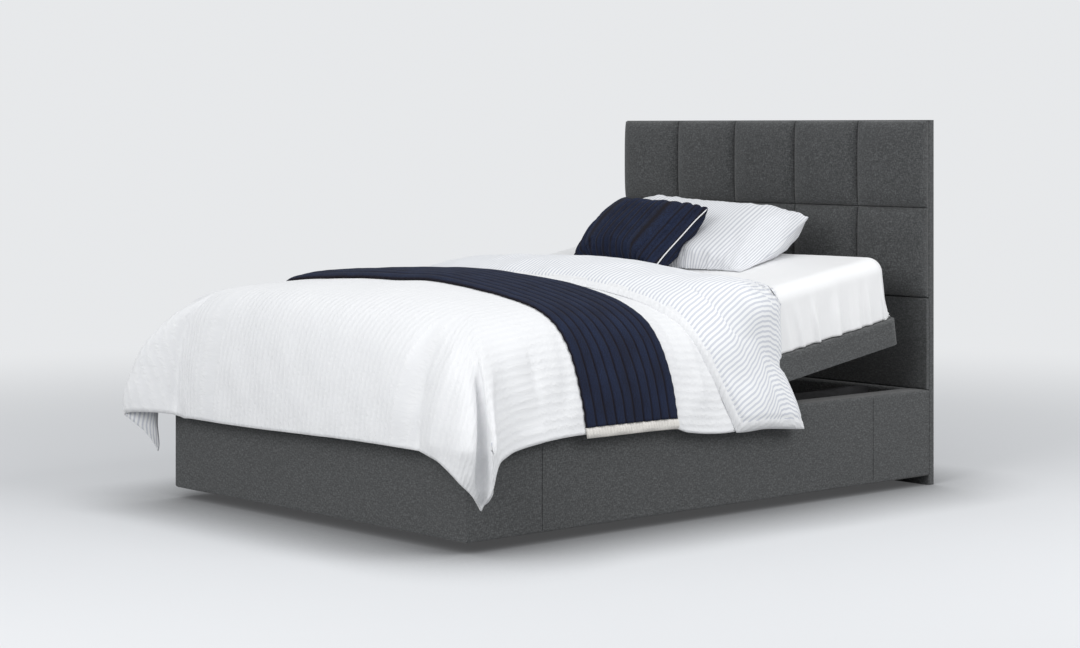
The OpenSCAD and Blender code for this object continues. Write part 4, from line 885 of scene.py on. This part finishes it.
def end_rows(place, inward, half, radius, out):
    """Rows that round off a block's free end"""
    rows = []
    for t in END_ROWS:
        depth = out * (1 - math.sqrt(1 - (1 - t) ** 2))
        rows.append((place + inward * out * t, half - depth, radius, MATTRESS_TOP - depth, 0.0))
    return rows


soft = (SOFT_HALF, SOFT_R, MATTRESS_TOP)
firm_rows = [(lerp(FIRM_FROM, FIRM_AT, t), lerp(SOFT_HALF, FIRM_HALF, t), lerp(SOFT_R, FIRM_R, t),
              MATTRESS_TOP, 0.0) for t in END_ROWS]
BLOCKS = {
    "calf": end_rows(MATTRESS_FOOT, 1, SOFT_HALF, SOFT_R, FOOT_ROUND)
    + [(KNEE_HINGE - GAP, *soft, 0.0)],
    "thigh": [(KNEE_HINGE + GAP, *soft, 0.0), (SEAT_HINGE - GAP, *soft, -LEAN_LEG)],
    "root": [(SEAT_HINGE + GAP, *soft, LEAN_LEG), (BACK_HINGE - GAP, *soft, -LEAN_BACK)],
    "back": [(BACK_HINGE + GAP, *soft, LEAN_BACK)] + firm_rows
    + end_rows(MATTRESS_END, -1, FIRM_HALF, FIRM_R, FIRM_R)[::-1]}
for body, rows in BLOCKS.items():
    part = "seat" if body == "root" else body
    made = block(f"mattress_{part}_block", rows)
    if body == "back":
        lay_on_back(made)
    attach(made, body)
    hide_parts("mattress_" + part)
    print(made.name, len(made.data.polygons), "faces")

# %% [markdown]
# The fitted sheet is stretched over the mattress, so it follows it closely on top. On its
# side the elastic below gathers it into soft upright folds, which fade out before the top
# edge. Two waves of different pitch, warped so that no fold is like the next, are enough for
# that. A simulated sheet would take minutes, and would look the same under tension.

# %% The fitted sheet
SHEET_START, SHEET_HEM = FIRM_AT, 0.3835  # place of its front edge, height of its hem
SHEET_LIFT, SHEET_CLOTH = 0.0028, 0.0012  # off the mattress, and its own thickness
SHEET_STEP = 0.007
FOLD_PITCH, FINE_FOLD_PITCH, FOLD_DEPTH = 0.082, 0.047, 0.0075


def sheet_surface(a, v):
    """The mattress's side and end covered: flat on top, round at the edges, then straight"""
    flat_x, flat_v = FIRM_HALF - FIRM_R, MATTRESS_END - FIRM_R
    past_side = np.maximum(np.abs(a) - flat_x, 0)
    past_end = np.maximum(v - flat_v, 0)
    run = np.hypot(past_side, past_end)
    turn = np.arctan2(past_end, past_side)
    arc = FIRM_R * math.pi / 2
    over = np.minimum(run / arc, 1) * math.pi / 2
    out = (FIRM_R + SHEET_LIFT) * np.sin(over)
    z = MATTRESS_TOP - FIRM_R + (FIRM_R + SHEET_LIFT) * np.cos(over) - np.maximum(run - arc, 0)
    x = np.minimum(np.abs(a), flat_x) + out * np.cos(turn)
    y = np.minimum(v, flat_v) + out * np.sin(turn)
    return np.stack([np.where(a < 0, -x, x), y, np.maximum(z, SHEET_HEM)], -1)


def sheet_folds(a, v, z):
    """Height of the folds, which run down the sides and the end"""
    hang = ease(MATTRESS_TOP - z, 0.030, 0.150)
    around = np.where(np.abs(a) - (FIRM_HALF - FIRM_R) > v - (MATTRESS_END - FIRM_R), v, a)
    warp = (around + 0.012 * np.sin(around * 23.0)
            + 0.10 * (z - 0.45) * np.sin(around * 11.0))
    folds = (np.sin(warp * 2 * math.pi / FOLD_PITCH)
             + 0.6 * np.sin(warp * 2 * math.pi / FINE_FOLD_PITCH + 1.3))
    strength = 0.5 + 0.5 * np.sin(around * 9.0 + 0.8)
    return FOLD_DEPTH * hang * np.clip(folds, -0.4, 2) * (0.35 + 0.65 * strength)


def fitted_sheet():
    reach = FIRM_HALF - FIRM_R + FIRM_R * math.pi / 2 + MATTRESS_TOP - FIRM_R - SHEET_HEM
    end = reach - FIRM_HALF + MATTRESS_END
    a, v = np.meshgrid(even_steps(-reach, reach, SHEET_STEP),
                       even_steps(SHEET_START, end, SHEET_STEP))
    flat = sheet_surface(a, v)
    relief = sheet_folds(a, v, flat[..., 2]) + swells(a, v, 5, 0.24, 0.0011)
    outer = flat + grid_normals(flat) * np.maximum(relief, -0.0015)[..., None]
    inner = outer - grid_normals(outer) * SHEET_CLOTH
    made = shell("fitted_sheet_cover", placed(outer), placed(inner), a, v, ["sheet"])
    lay_on_back(made)
    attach(made, "back")
    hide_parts("fitted_sheet")


fitted_sheet()

# %% [markdown]
# The duvet's surface so far is as smooth as a shell. Real down shifts and bunches, so low
# swells go all over it, stronger where it hangs. The folds that the photograph shows have
# their own places: each is a crease from one point of the cloth to another.

# %% Folds of the duvet
CREASES = [  # start and end on the cloth, half width, height
    ((0.425, 0.130), (0.466, -0.300), 0.013, -0.014),  # where the near ear leaves the foot
    ((0.500, 0.120), (0.540, -0.280), 0.030, 0.010),
    ((0.590, 0.170), (0.800, -0.230), 0.024, -0.012),  # down the near ear to its tip
    ((0.640, 0.210), (0.840, 0.020), 0.026, 0.009),
    ((0.630, 0.262), (0.860, 0.240), 0.014, -0.010),  # where it leaves the side
    ((0.560, 0.400), (0.840, 0.340), 0.022, -0.005),
    ((0.500, 0.830), (0.860, 0.790), 0.020, -0.006),  # beside the turned-back part
    ((0.520, 0.900), (0.840, 0.860), 0.016, 0.006),
    ((-0.525, 0.090), (-0.645, -0.335), 0.013, -0.013),  # where the far ear leaves the foot
    ((-0.600, 0.080), (-0.740, -0.280), 0.030, 0.008),
    ((-0.560, 0.300), (-0.860, 0.285), 0.020, -0.008)]  # where it leaves the side


def past_edges(a, v):
    """How far a place on the cloth is past the side's and the foot's edge lines"""
    return np.maximum(np.abs(a) - EDGE_X, 0), np.maximum(EDGE_S - v, 0)


def duvet_relief(a, v):
    """Swells and creases of the duvet, in metres off its smooth surface"""
    hang = ease(np.maximum(*past_edges(a, v)), 0.12, 0.36)
    rise = swells(a, v, 11, 0.34, 0.0016) + swells(a, v, 12, 0.13, 0.0009) * (0.4 + hang)
    for start, end, width, height in CREASES:
        rise = rise + crease(a, v, start, end, width, height)
    return rise


def even_crown(v):
    """The duvet's height in its middle, which falls towards the head end"""
    return lerp(CROWN, 0.628, ease(v, 0.72, 1.02)) - 0.014 * ease(v, 1.05, 1.27)


def duvet_points(a, v, lift=0.0):
    """Points a height over the duvet's surface, folds and all"""
    smooth = duvet_surface(a, v, even_crown(v))
    normal = grid_normals(smooth)
    points = smooth + normal * duvet_relief(a, v)[..., None]
    return points + grid_normals(points) * np.asarray(lift)[..., None]


print(len(CREASES), "named creases")

# %% [markdown]
# Near its head end the duvet lies on the mattress's firm shoulders. Points that would be
# inside the mattress are moved out to a distance from it, which is simpler and surer than a
# collision in a simulation. The cloth also thins towards its sewn hem and at its corners.

# %% Room and thickness
OVER_SHOULDER = 0.80  # from here on the duvet is kept off the mattress


def off_mattress(points, v, clear):
    """Moves points of the flat bed's cloth out to a distance from the mattress's shoulders"""
    share = np.clip((v - FIRM_FROM) / (FIRM_AT - FIRM_FROM), 0, 1)
    half, radius = lerp(SOFT_HALF, FIRM_HALF, share), lerp(SOFT_R, FIRM_R, share)
    x, z = points[..., 0], points[..., 2]
    side, up = np.abs(x) - (half - radius), z - (MATTRESS_TOP - radius)
    both = (side > 0) & (up > 0)
    far = np.maximum(np.hypot(side, up), 1e-9)
    push = np.maximum(radius + clear - np.where(both, far, np.maximum(side, up)), 0)
    push = push * (v > OVER_SHOULDER)
    out_x = np.where(both, side / far, side > up)
    out_z = np.where(both, up / far, side <= up)
    return np.stack([x + np.sign(x) * push * out_x, points[..., 1], z + push * out_z], -1)


def relaxed(grid, rounds):
    """Draws each point of a grid towards its neighbours, so that sharp bends become soft"""
    grid = grid.copy()
    for _ in range(rounds):
        grid[1:-1, 1:-1] = (grid[:-2, 1:-1] + grid[2:, 1:-1]
                            + grid[1:-1, :-2] + grid[1:-1, 2:]) / 4
        for edge in (grid[0], grid[-1]):
            edge[1:-1] = (edge[:-2] + edge[2:]) / 2
    return grid


def duvet_thickness(a, v):
    """Full on top and on the sides, drawn in at the sewn hem"""
    hem, full, thin, drawn = 0.035, 0.020, 0.005, 0.0125
    past_side, past_foot = past_edges(a, v)
    side_room = np.where(a < 0, HEM_FAR, HEM_NEAR) - past_side
    foot_room = EDGE_S - foot_row(a, EDGE_S - HEM_FOOT) - past_foot
    edge = np.minimum(side_room, foot_room)
    run = np.hypot(past_side, past_foot)
    corner = np.sin(2 * np.arctan2(past_foot, past_side)) ** 2
    full = full - 0.006 * ease(run, 0.30, 0.48) - drawn * corner * ease(run, 0.12, 0.30)
    return thin + (full - thin) * np.sqrt(np.clip(edge / hem, 0, 1))


print("thickness in the middle", float(duvet_thickness(np.array([0.0]), np.array([0.5]))[0]), "m")

# %% [markdown]
# The duvet bends at the knee, at the seat and at the back, and a piece can only bend across
# one joint. So it is made in three lengths that meet out of sight under the throw. Its upper
# side is linen and its underside striped.

# %% The duvet
DUVET_STEP = 0.008
FOOT_JOIN, SEAT_JOIN, DUVET_END = 0.44, 0.65, 1.23
SIDE_MORE = 0.020  # what the near side has more under the turned-back part


def duvet_piece(name, v_low, v_high, nodes):
    """One length of the duvet, from v_low to v_high along the cloth"""
    a, v = np.meshgrid(even_steps(-EDGE_X - HEM_FAR, EDGE_X + HEM_NEAR, DUVET_STEP),
                       even_steps(v_low, v_high, DUVET_STEP))
    v = foot_row(a, v)
    a = a + SIDE_MORE * ease(a, EDGE_X, EDGE_X + HEM_NEAR) * ease(v, 0.70, 0.80)
    outer = duvet_points(a, v)
    sunk = 0.014 * ease(v, 0.95, 1.02)  # out of the way of the turned-back part
    outer = off_mattress(outer - grid_normals(outer) * sunk[..., None], v, 0.005)
    inner = outer - grid_normals(outer) * duvet_thickness(a, v)[..., None]
    inner = off_mattress(inner, v, 0.0035)
    made = shell(name, placed(lifted(outer, v)), placed(lifted(inner, v)), a, v,
                 ["linen", "fold_stripe"])
    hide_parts(*nodes)
    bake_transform(made)


duvet_piece("duvet_foot_end", EDGE_S - HEM_FOOT, FOOT_JOIN,
            ["duvet_foot", "duvet_thigh"])
duvet_piece("duvet_seat_length", FOOT_JOIN, SEAT_JOIN,
            ["duvet_middle"])
duvet_piece("duvet_head_length", SEAT_JOIN, DUVET_END,
            ["duvet_head"])

# %% [markdown]
# The head end of the duvet is turned back, so its striped underside shows. It is a thick
# soft roll over the duvet: round and white along its free edge, where the top cloth wraps
# round to the seam, fullest behind that, and thin where it folds at the head end. It could be
# one mesh with the duvet, but a strip of its own between two lines on the cloth is easier to
# shape.

# %% Lines of the turned-back part
FRONT_LINE = smooth_line([(0.0, 0.900), (0.30, 0.895), (0.55, 0.890), (0.66, 0.905),
                          (0.78, 0.935), (0.90, 0.968), (1.1, 0.985)])
REAR_LINE = smooth_line([(0.0, 1.275), (0.45, 1.272), (0.60, 1.248), (0.70, 1.228),
                         (0.80, 1.228), (0.92, 1.243), (1.1, 1.258)])
ROLL_RISE = [(0, 0.0), (0.02, 0.016), (0.05, 0.027), (0.10, 0.036), (0.16, 0.043), (0.30, 0.052),
             (0.50, 0.052), (0.75, 0.040), (0.92, 0.022), (1.0, 0.004)]


def line_place(line, a):
    """The place along the bed of a line that runs across it"""
    places = [line(t) for t in np.linspace(0, line.total, 80)]
    return np.interp(np.abs(a), [p[0] for p in places], [p[1] for p in places])


def turned_rise(share):
    """Height of the roll over the duvet, from its free edge to its fold"""
    return np.interp(share, *zip(*ROLL_RISE))


print("the roll is up to", max(rise for _, rise in ROLL_RISE), "m full")

# %% [markdown]
# The roll lies on the duvet's surface, which is first drawn smooth there, and rises from it
# along its normals. Its stripes are measured over the roll itself and not over the surface
# under it, or they would spread where it is full.

# %% The turned-back part
HEM_WHITE = 0.030  # width of the white edge before the seam
SEAM_WIDTH, SEAM_DEPTH = 0.0045, 0.006
ROLL_UNDER = 0.0015  # from the duvet to the roll's underside
DECK_CLEAR = FIRM_HALF + 0.008
PART_COLUMNS, EDGE_ROWS, PART_ROWS = 281, 7, 54


def roll_cloth():
    """Places of the roll on the duvet's cloth, its share from edge to fold, and its hem"""
    rows = np.concatenate([np.linspace(0, 0.06, EDGE_ROWS)[:-1], np.linspace(0.06, 1, PART_ROWS)])
    s, share = np.meshgrid(rows, np.linspace(-1, 1, PART_COLUMNS), indexing="ij")
    front = line_place(FRONT_LINE, share * (EDGE_X + 0.46))
    v = front + s * (line_place(REAR_LINE, share * (EDGE_X + 0.5)) - front)
    low = (v - 0.93) / 0.345
    hem = np.where(share < 0, HEM_FAR + lerp(-0.030, 0.095, low),
                   HEM_NEAR + lerp(0.018, 0.073, low))
    return share * (EDGE_X + hem), v, s, hem


def roll_base(a, v):
    """The surface that the roll lies on: soft, clear of the mattress, and tucked in low down"""
    under = relaxed(off_mattress(duvet_points(a, v), v, 0.012), 40)
    under = off_mattress(under, v, 0.009)
    tuck = 0.045 * ease(v, 1.10, 1.27) * hill(under[..., 2], 0.45, 0.12)
    room = np.maximum(np.abs(under[..., 0]) - DECK_CLEAR, 0)
    under[..., 0] -= np.sign(a) * np.minimum(tuck, room)
    return under


def lengths(points, axis):
    """How long the cloth is from the grid's first row or column to each point"""
    first = points[:1] if axis == 0 else points[:, :1]
    steps = np.diff(points, axis=axis, prepend=first)
    return np.cumsum(np.linalg.norm(steps, axis=-1), axis=axis)


def turned_part():
    a, v, s, hem = roll_cloth()
    under = roll_base(a, v)
    normal = grid_normals(under)
    edge = EDGE_X + hem - np.abs(a)
    full = turned_rise(s) * np.sqrt(np.clip(edge / HEM_WHITE, 0.02, 1))
    full = full * lerp(1, 0.62, ease(np.abs(a), 0.5, 0.8))
    relief = swells(a, v, 21, 0.17, 0.0020) + swells(a, v, 22, 0.07, 0.0007)
    lift = full + 0.002 + relief * np.clip(edge / HEM_WHITE, 0, 1) * np.clip(s / 0.1, 0, 1)
    outer = under + normal * lift[..., None]
    inner = lifted(under + normal * ROLL_UNDER, v)
    rim = np.minimum(lengths(outer, 0), edge)
    seam = hill(rim, HEM_WHITE, SEAM_WIDTH) * SEAM_DEPTH
    across = lengths(outer, 1)
    across = across - across[:, PART_COLUMNS // 2, None]
    outer = lifted(outer - normal * seam[..., None], v)
    white = (rim < HEM_WHITE)[:-1, :-1]
    made = shell("duvet_turned_back", placed(outer), placed(inner), across, v,
                 ["fold_stripe", "linen"], pick=white.ravel().astype(int))
    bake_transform(made)
    print(int(white.sum()), "of its faces are the white edge")


turned_part()

# %% [markdown]
# The throw lies on the duvet and takes its shape from it: every point is a point of the
# duvet's surface, pushed out by the throw's own thickness, so it can't sink in or float. Its
# pleats run along its length, each a low swell that ends at a sharp, stitched valley.

# %% The pleated throw
THROW_START = 0.400
THROW_END = THROW_START + THROW_PLEATS * THROW_PLEAT
THROW_NEAR, THROW_FAR = 0.440, 0.480  # cloth from the edge lines down to the cream bands
THROW_UNDER, THROW_VALLEY, PLEAT_HEIGHT = 0.0022, 0.0045, 0.0060  # over the duvet, then over that
EDGE_STITCH = 0.030  # pitch of the small scallops along its two long edges


def pleat(share, count, height):
    """Low swells side by side, with sharp valleys between them"""
    return height * np.abs(np.sin(share * count * math.pi)) ** 0.45


def throw_piece(name, a, v, lift, under, cloth_v, finish):
    """A length of the throw that bends with the duvet, from its height over it"""
    outer = lifted(duvet_points(a, v, lift), v)
    inner = lifted(duvet_points(a, v, np.full_like(lift, under)), v)
    made = shell(name, placed(outer), placed(inner), a, cloth_v, [finish])
    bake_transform(made)
    return made


def throw_body():
    a, v = np.meshgrid(even_steps(-EDGE_X - THROW_FAR, EDGE_X + THROW_NEAR, 0.0075),
                       even_steps(THROW_START, THROW_END, 0.0025))
    share = (v - THROW_START) / (THROW_END - THROW_START)
    drift = 0.012 * np.sin(a * 5.0) + 0.008 * np.sin(a * 11.0 + share * 4)
    across = np.clip(share + 4 * drift * share * (1 - share), 0, 1)
    lift = THROW_VALLEY + pleat(across, THROW_PLEATS, PLEAT_HEIGHT)
    rim = np.minimum(share, 1 - share) * (THROW_END - THROW_START)
    loose = ease(-a, -0.50, 0.15) * ease(a, -0.80, -0.62)  # it lies loose over the far half
    lift = lift + 0.017 * loose * (1 - np.exp(-rim / 0.035))
    scallops = 0.0014 * np.sin(a * 2 * math.pi / EDGE_STITCH) * np.exp(-rim / 0.006)
    v = v + np.where(share < 0.5, -scallops, scallops)
    return throw_piece("throw_knit", a, v, lift, THROW_UNDER,
                       across * THROW_PLEAT * THROW_PLEATS, "throw_knit")


throw = throw_body()
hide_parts("bed_throw")
print("the throw has", THROW_PLEATS, "pleats of", THROW_PLEAT, "m")

# %% [markdown]
# A ribbed cream band ends the throw on each side. It overlaps the knit a little, so that no
# gap opens between them, and it is thick in its middle and thin at its edges.

# %% The cream bands
BAND_WIDTH, BAND_OVERLAP, BAND_RIBS = 0.032, 0.004, 32
BAND_INSET = 0.002  # what the band is narrower than the throw at each end


def throw_band(name, side):
    low = EDGE_X + (THROW_NEAR if side > 0 else THROW_FAR) - BAND_OVERLAP
    high = low + BAND_WIDTH
    a, v = np.meshgrid(side * even_steps(low, high, 0.0035)[::side],
                       even_steps(THROW_START + BAND_INSET, THROW_END - BAND_INSET, 0.002))
    share = (v - THROW_START) / (THROW_END - THROW_START)
    ribs = np.abs(np.sin(share * math.pi * BAND_RIBS)) ** 0.6
    rim = np.clip((high - np.abs(a)) / 0.008, 0, 1) * np.clip((np.abs(a) - low) / 0.012, 0, 1)
    lift = 0.0026 + (0.0025 + 0.0045 * ribs) * rim + 0.0020 * rim * np.sin(share * 21)
    return throw_piece(name, a, v, lift, 0.0012, v, "cream_trim")


bands = [throw_band("throw_band_near", 1), throw_band("throw_band_far", -1)]
print("the throw has", len(bands), "bands and follows three lengths of the duvet")

# %% [markdown] Pillows are the place for a cloth simulation: a flat, sewn pad is remeshed,
# blown up by the cloth's inner pressure for twenty frames, and every point is then kept
# within a small distance of where it started. That gives taut middles and crinkled seams for
# little time. Sculpting gives them too, but not from a script.

# %% Sewing and inflating a pad
PAD_CLOTH = {"quality": 6, "mass": 0.25, "tension_stiffness": 12, "compression_stiffness": 12,
             "shear_stiffness": 6, "bending_stiffness": 0.4, "use_pressure": True}
PAD_STEP, PAD_FRAMES, PAD_PRESSURE = 0.012, 20, 4.0


def pad_mesh(name, size, draw, power, seam, finish):
    """A sewn pad: crowned in the middle, its sides drawn in between its corners"""
    width, length, middle = size
    a, b = np.meshgrid(even_steps(-1, 1, 2 * PAD_STEP / width),
                       even_steps(-1, 1, 2 * PAD_STEP / length))
    x = width / 2 * a * (1 - draw * (1 - b * b))
    y = length / 2 * b * (1 - draw * (1 - a * a))
    crown = ((1 - np.abs(a) ** power) * (1 - np.abs(b) ** power)) ** 0.5
    half = seam / 2 + (middle - seam) / 2 * crown
    return shell(name, np.stack([x, y, half], -1), np.stack([x, y, -half], -1), x, y, [finish])


def inflate(made, voxel, most):
    """Remeshes a pad and blows it up as cloth, then keeps each point within `most` metres"""
    bpy.context.view_layer.objects.active = made
    for other in bpy.context.selected_objects:
        other.select_set(False)
    made.select_set(True)
    remesh = made.modifiers.new("remesh", "REMESH")
    remesh.mode = "VOXEL"
    remesh.voxel_size = voxel
    bpy.ops.object.modifier_apply(modifier=remesh.name)
    start = points_of(made)
    cloth = made.modifiers.new("cloth", "CLOTH")
    for key, value in PAD_CLOTH.items():
        setattr(cloth.settings, key, value)
    cloth.settings.uniform_pressure_force = PAD_PRESSURE
    cloth.settings.effector_weights.gravity = 0
    cloth.collision_settings.use_collision = False
    for step in range(1, PAD_FRAMES + 1):
        scene.frame_set(step)
    bpy.ops.object.modifier_apply(modifier=cloth.name)
    scene.frame_set(1)
    move = points_of(made) - start
    far = np.linalg.norm(move, axis=1, keepdims=True)
    set_points(made, start + move * np.minimum(1, most / np.maximum(far, 1e-9)))
    print(made.name, "inflated,", len(start), "points, furthest", round(float(far.max()), 4))


def refine(made):
    """One round of subdivision, applied"""
    sub = made.modifiers.new("refine", "SUBSURF")
    bpy.context.view_layer.objects.active = made
    bpy.ops.object.modifier_apply(modifier=sub.name)
    made.data.shade_smooth()


print("a pad is blown up in", PAD_FRAMES, "frames")

# %% [markdown]
# The stripes and pleats of a pad lie on its cloth as it was cut, so each point's place on the
# cloth is stored before the pad is turned. Then the pad is tilted against the headboard,
# turned a little, moved to its place, and pressed flat where it would be inside the bed.

# %% Marking and laying a pad
SHEET_TOP = MATTRESS_TOP + 0.004
PRESS = 0.02  # height over which a pad is pressed flat


def vertex_normals(made):
    n = np.zeros(len(made.data.vertices) * 3)
    made.data.vertices.foreach_get("normal", n)
    return n.reshape(-1, 3)


def flat_place(co, half_width):
    """Each point's place on the pad's cloth as it was cut: it runs on round the pad's ends"""
    x, z = co[:, 0], np.abs(co[:, 2])
    x = x - np.sign(x) * 0.9 * z * ease(np.abs(x), 0.35 * half_width, 0.85 * half_width)
    return np.stack([x, co[:, 1], co[:, 2]], 1)


def turned(first, second, degrees):
    """Two coordinates after a turn that takes the first towards the second"""
    c, s = math.cos(math.radians(degrees)), math.sin(math.radians(degrees))
    return first * c - second * s, first * s + second * c


def rest_on_bed(made, place, tilt, yaw, roll=0.0):
    """Tilts and turns a pad, moves it to its place and presses it flat on the sheet"""
    x, y, z = points_of(made).T
    z, x = turned(z, x, roll)
    y, z = turned(y, z, tilt)
    x, y = turned(x, y, yaw)
    z = z + place[2]
    pressed = SHEET_TOP + PRESS * np.exp((z - SHEET_TOP - PRESS) / PRESS)
    z = np.where(z < SHEET_TOP + PRESS, pressed, z)
    set_points(made, np.stack([x + place[0], y + place[1] + FOOT_PLACE, z], 1))
    lay_on_back(made)
    print(made.name, "lies at", place)


print("pads are pressed on a sheet at", round(SHEET_TOP, 4))

# %% [markdown]
# The pillow is wide and soft, with crinkles near its seams and its stripes running round its
# ends. The crinkles are swells that are added after the simulation, because a cloth fine
# enough to crinkle by itself would take minutes.

# %% The pillow
PILLOW_SIZE = (0.745, 0.395, 0.140)


def pillow():
    made = pad_mesh("striped_pillow", PILLOW_SIZE, 0.015, 3.8, 0.010, "pillow_stripe")
    inflate(made, 0.0055, 0.012)
    refine(made)
    co = points_of(made)
    half_width, half_depth = PILLOW_SIZE[0] / 2, PILLOW_SIZE[1] / 2
    from_middle = np.maximum(np.abs(co[:, 0]) / half_width, np.abs(co[:, 1]) / half_depth)
    near_rim = ease(from_middle, 0.55, 0.95)
    crinkle = (swells(co[:, 0], co[:, 1], 31, 0.10, 0.0026) * near_rim
               + swells(co[:, 0] * 2.2, co[:, 1] * 0.8, 32, 0.055, 0.0016) * near_rim
               + swells(co[:, 0], co[:, 1], 33, 0.22, 0.0030))
    set_points(made, co + vertex_normals(made) * crinkle[:, None])
    mark_cloth(made, flat_place(points_of(made), half_width))
    rest_on_bed(made, (0.0, 1.5912, 0.6340), 22, 0, 2.5)
    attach(made, "back")
    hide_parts("pillow")


pillow()

# %% [markdown]
# The small cushion leans against the pillow. Its pleats are stitched through, so they are
# valleys pressed into the inflated pad, which fade towards the seams. A white cord is sewn in
# along its side. The cord could be a curve with a round profile, but as a tube of rings it
# follows the pad's own points exactly.

# %% The cushion and its cord
CUSHION_PLACE, CUSHION_TILT, CUSHION_YAW = (-0.098, 1.4500, 0.6800), 33, -10
CORD_RADIUS, CORD_RINGS, CORD_POINTS = 0.0020, 61, 12
TUCK_DEPTH = 0.0085


def piping(pad):
    """A white cord along the seam at a pad's right side, from the pad's own points"""
    reach = CUSHION_DEPTH / 2 - 0.010
    rows = np.linspace(-reach, reach, CORD_RINGS)
    near_seam = np.abs(pad[:, 2]) < 0.03
    seam = np.array([pad[(np.abs(pad[:, 1] - y) < 0.008) & near_seam, 0].max() for y in rows])
    seam = np.convolve(np.pad(seam, 3, "edge"), np.ones(7) / 7, "valid")
    taper = 1 - np.abs(np.linspace(-1, 1, CORD_RINGS)) ** 20
    radius = CORD_RADIUS * np.sqrt(np.clip(taper, 0.02, 1))
    turn = np.linspace(0, 2 * math.pi, CORD_POINTS, endpoint=False)
    rings = np.stack([seam[:, None] + radius[:, None] * np.cos(turn),
                      np.repeat(rows[:, None], CORD_POINTS, 1),
                      radius[:, None] * np.sin(turn)], -1)
    return tube("cushion_piping", rings, "ticking")


def cushion():
    half_width, half_depth = CUSHION_WIDTH / 2, CUSHION_DEPTH / 2
    made = pad_mesh("navy_cushion", (CUSHION_WIDTH, CUSHION_DEPTH, 0.130), 0.03, 3.6, 0.008,
                    "cushion_knit")
    inflate(made, 0.005, 0.010)
    refine(made)
    co = points_of(made)
    share = flat_place(co, half_width)[:, 0] / CUSHION_WIDTH + 0.5
    tucks = pleat(share, CUSHION_PLEATS, 1.0) - 1
    fade = ease(1 - np.abs(co[:, 1]) / half_depth, 0.0, 0.10)
    depth = (TUCK_DEPTH * tucks * (0.4 + 0.6 * fade)
             + swells(co[:, 0], co[:, 1], 41, 0.16, 0.002))
    set_points(made, co + vertex_normals(made) * depth[:, None])
    mark_cloth(made, flat_place(points_of(made), half_width))
    for piece in (made, piping(points_of(made))):
        rest_on_bed(piece, CUSHION_PLACE, CUSHION_TILT, CUSHION_YAW)
        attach(piece, "back")
    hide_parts("pleated_cushion")


cushion()

# %% [markdown]
# The headboard's tiles are foam pads pulled tight in fabric: square at the edges, full in
# the middle, with a narrow tuck between them. A bevelled box would be flat in its middle, so
# a power curve gives that fullness, on a grid that is finest near the tucks.

# %% Headboard tiles
TILE_EDGES = [-0.682, -0.414, -0.145, 0.128, 0.400, 0.683]
TILE_ROW = 0.871  # height between the two rows
TILE_POINTS, TUCK, RIM_DEPTH = 33, 0.0008, 0.006


def headboard_tiles():
    low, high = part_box("headboard_tiles")
    heights = [low.z, TILE_ROW, high.z]
    steps = np.sin(np.linspace(-1, 1, TILE_POINTS) * math.pi / 2)
    a, b = np.meshgrid(steps, steps)
    full = ((1 - np.abs(a) ** 3.2) * (1 - np.abs(b) ** 3.2)) ** 0.42
    y = high.y - RIM_DEPTH - (high.y - low.y - RIM_DEPTH) * full
    quads = shell_faces(TILE_POINTS, TILE_POINTS)
    points, faces = [], []
    for x0, x1 in zip(TILE_EDGES, TILE_EDGES[1:]):
        for z0, z1 in zip(heights, heights[1:]):
            x = (x0 + x1) / 2 + a * ((x1 - x0) / 2 - TUCK)
            z = (z0 + z1) / 2 + b * ((z1 - z0) / 2 - TUCK)
            faces.append(quads + len(points) * TILE_POINTS ** 2)
            points.append(np.stack([x, y, z], -1).reshape(-1, 3))
            points.append(np.stack([x, np.full_like(x, high.y), z], -1).reshape(-1, 3))
    made = mesh_object("headboard_pads", np.concatenate(points), np.concatenate(faces).tolist())
    paint(made, "upholstery")
    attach(made, "root")
    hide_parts("headboard_tiles")
    print(len(points) // 2, "tiles")


headboard_tiles()

# %% [markdown]
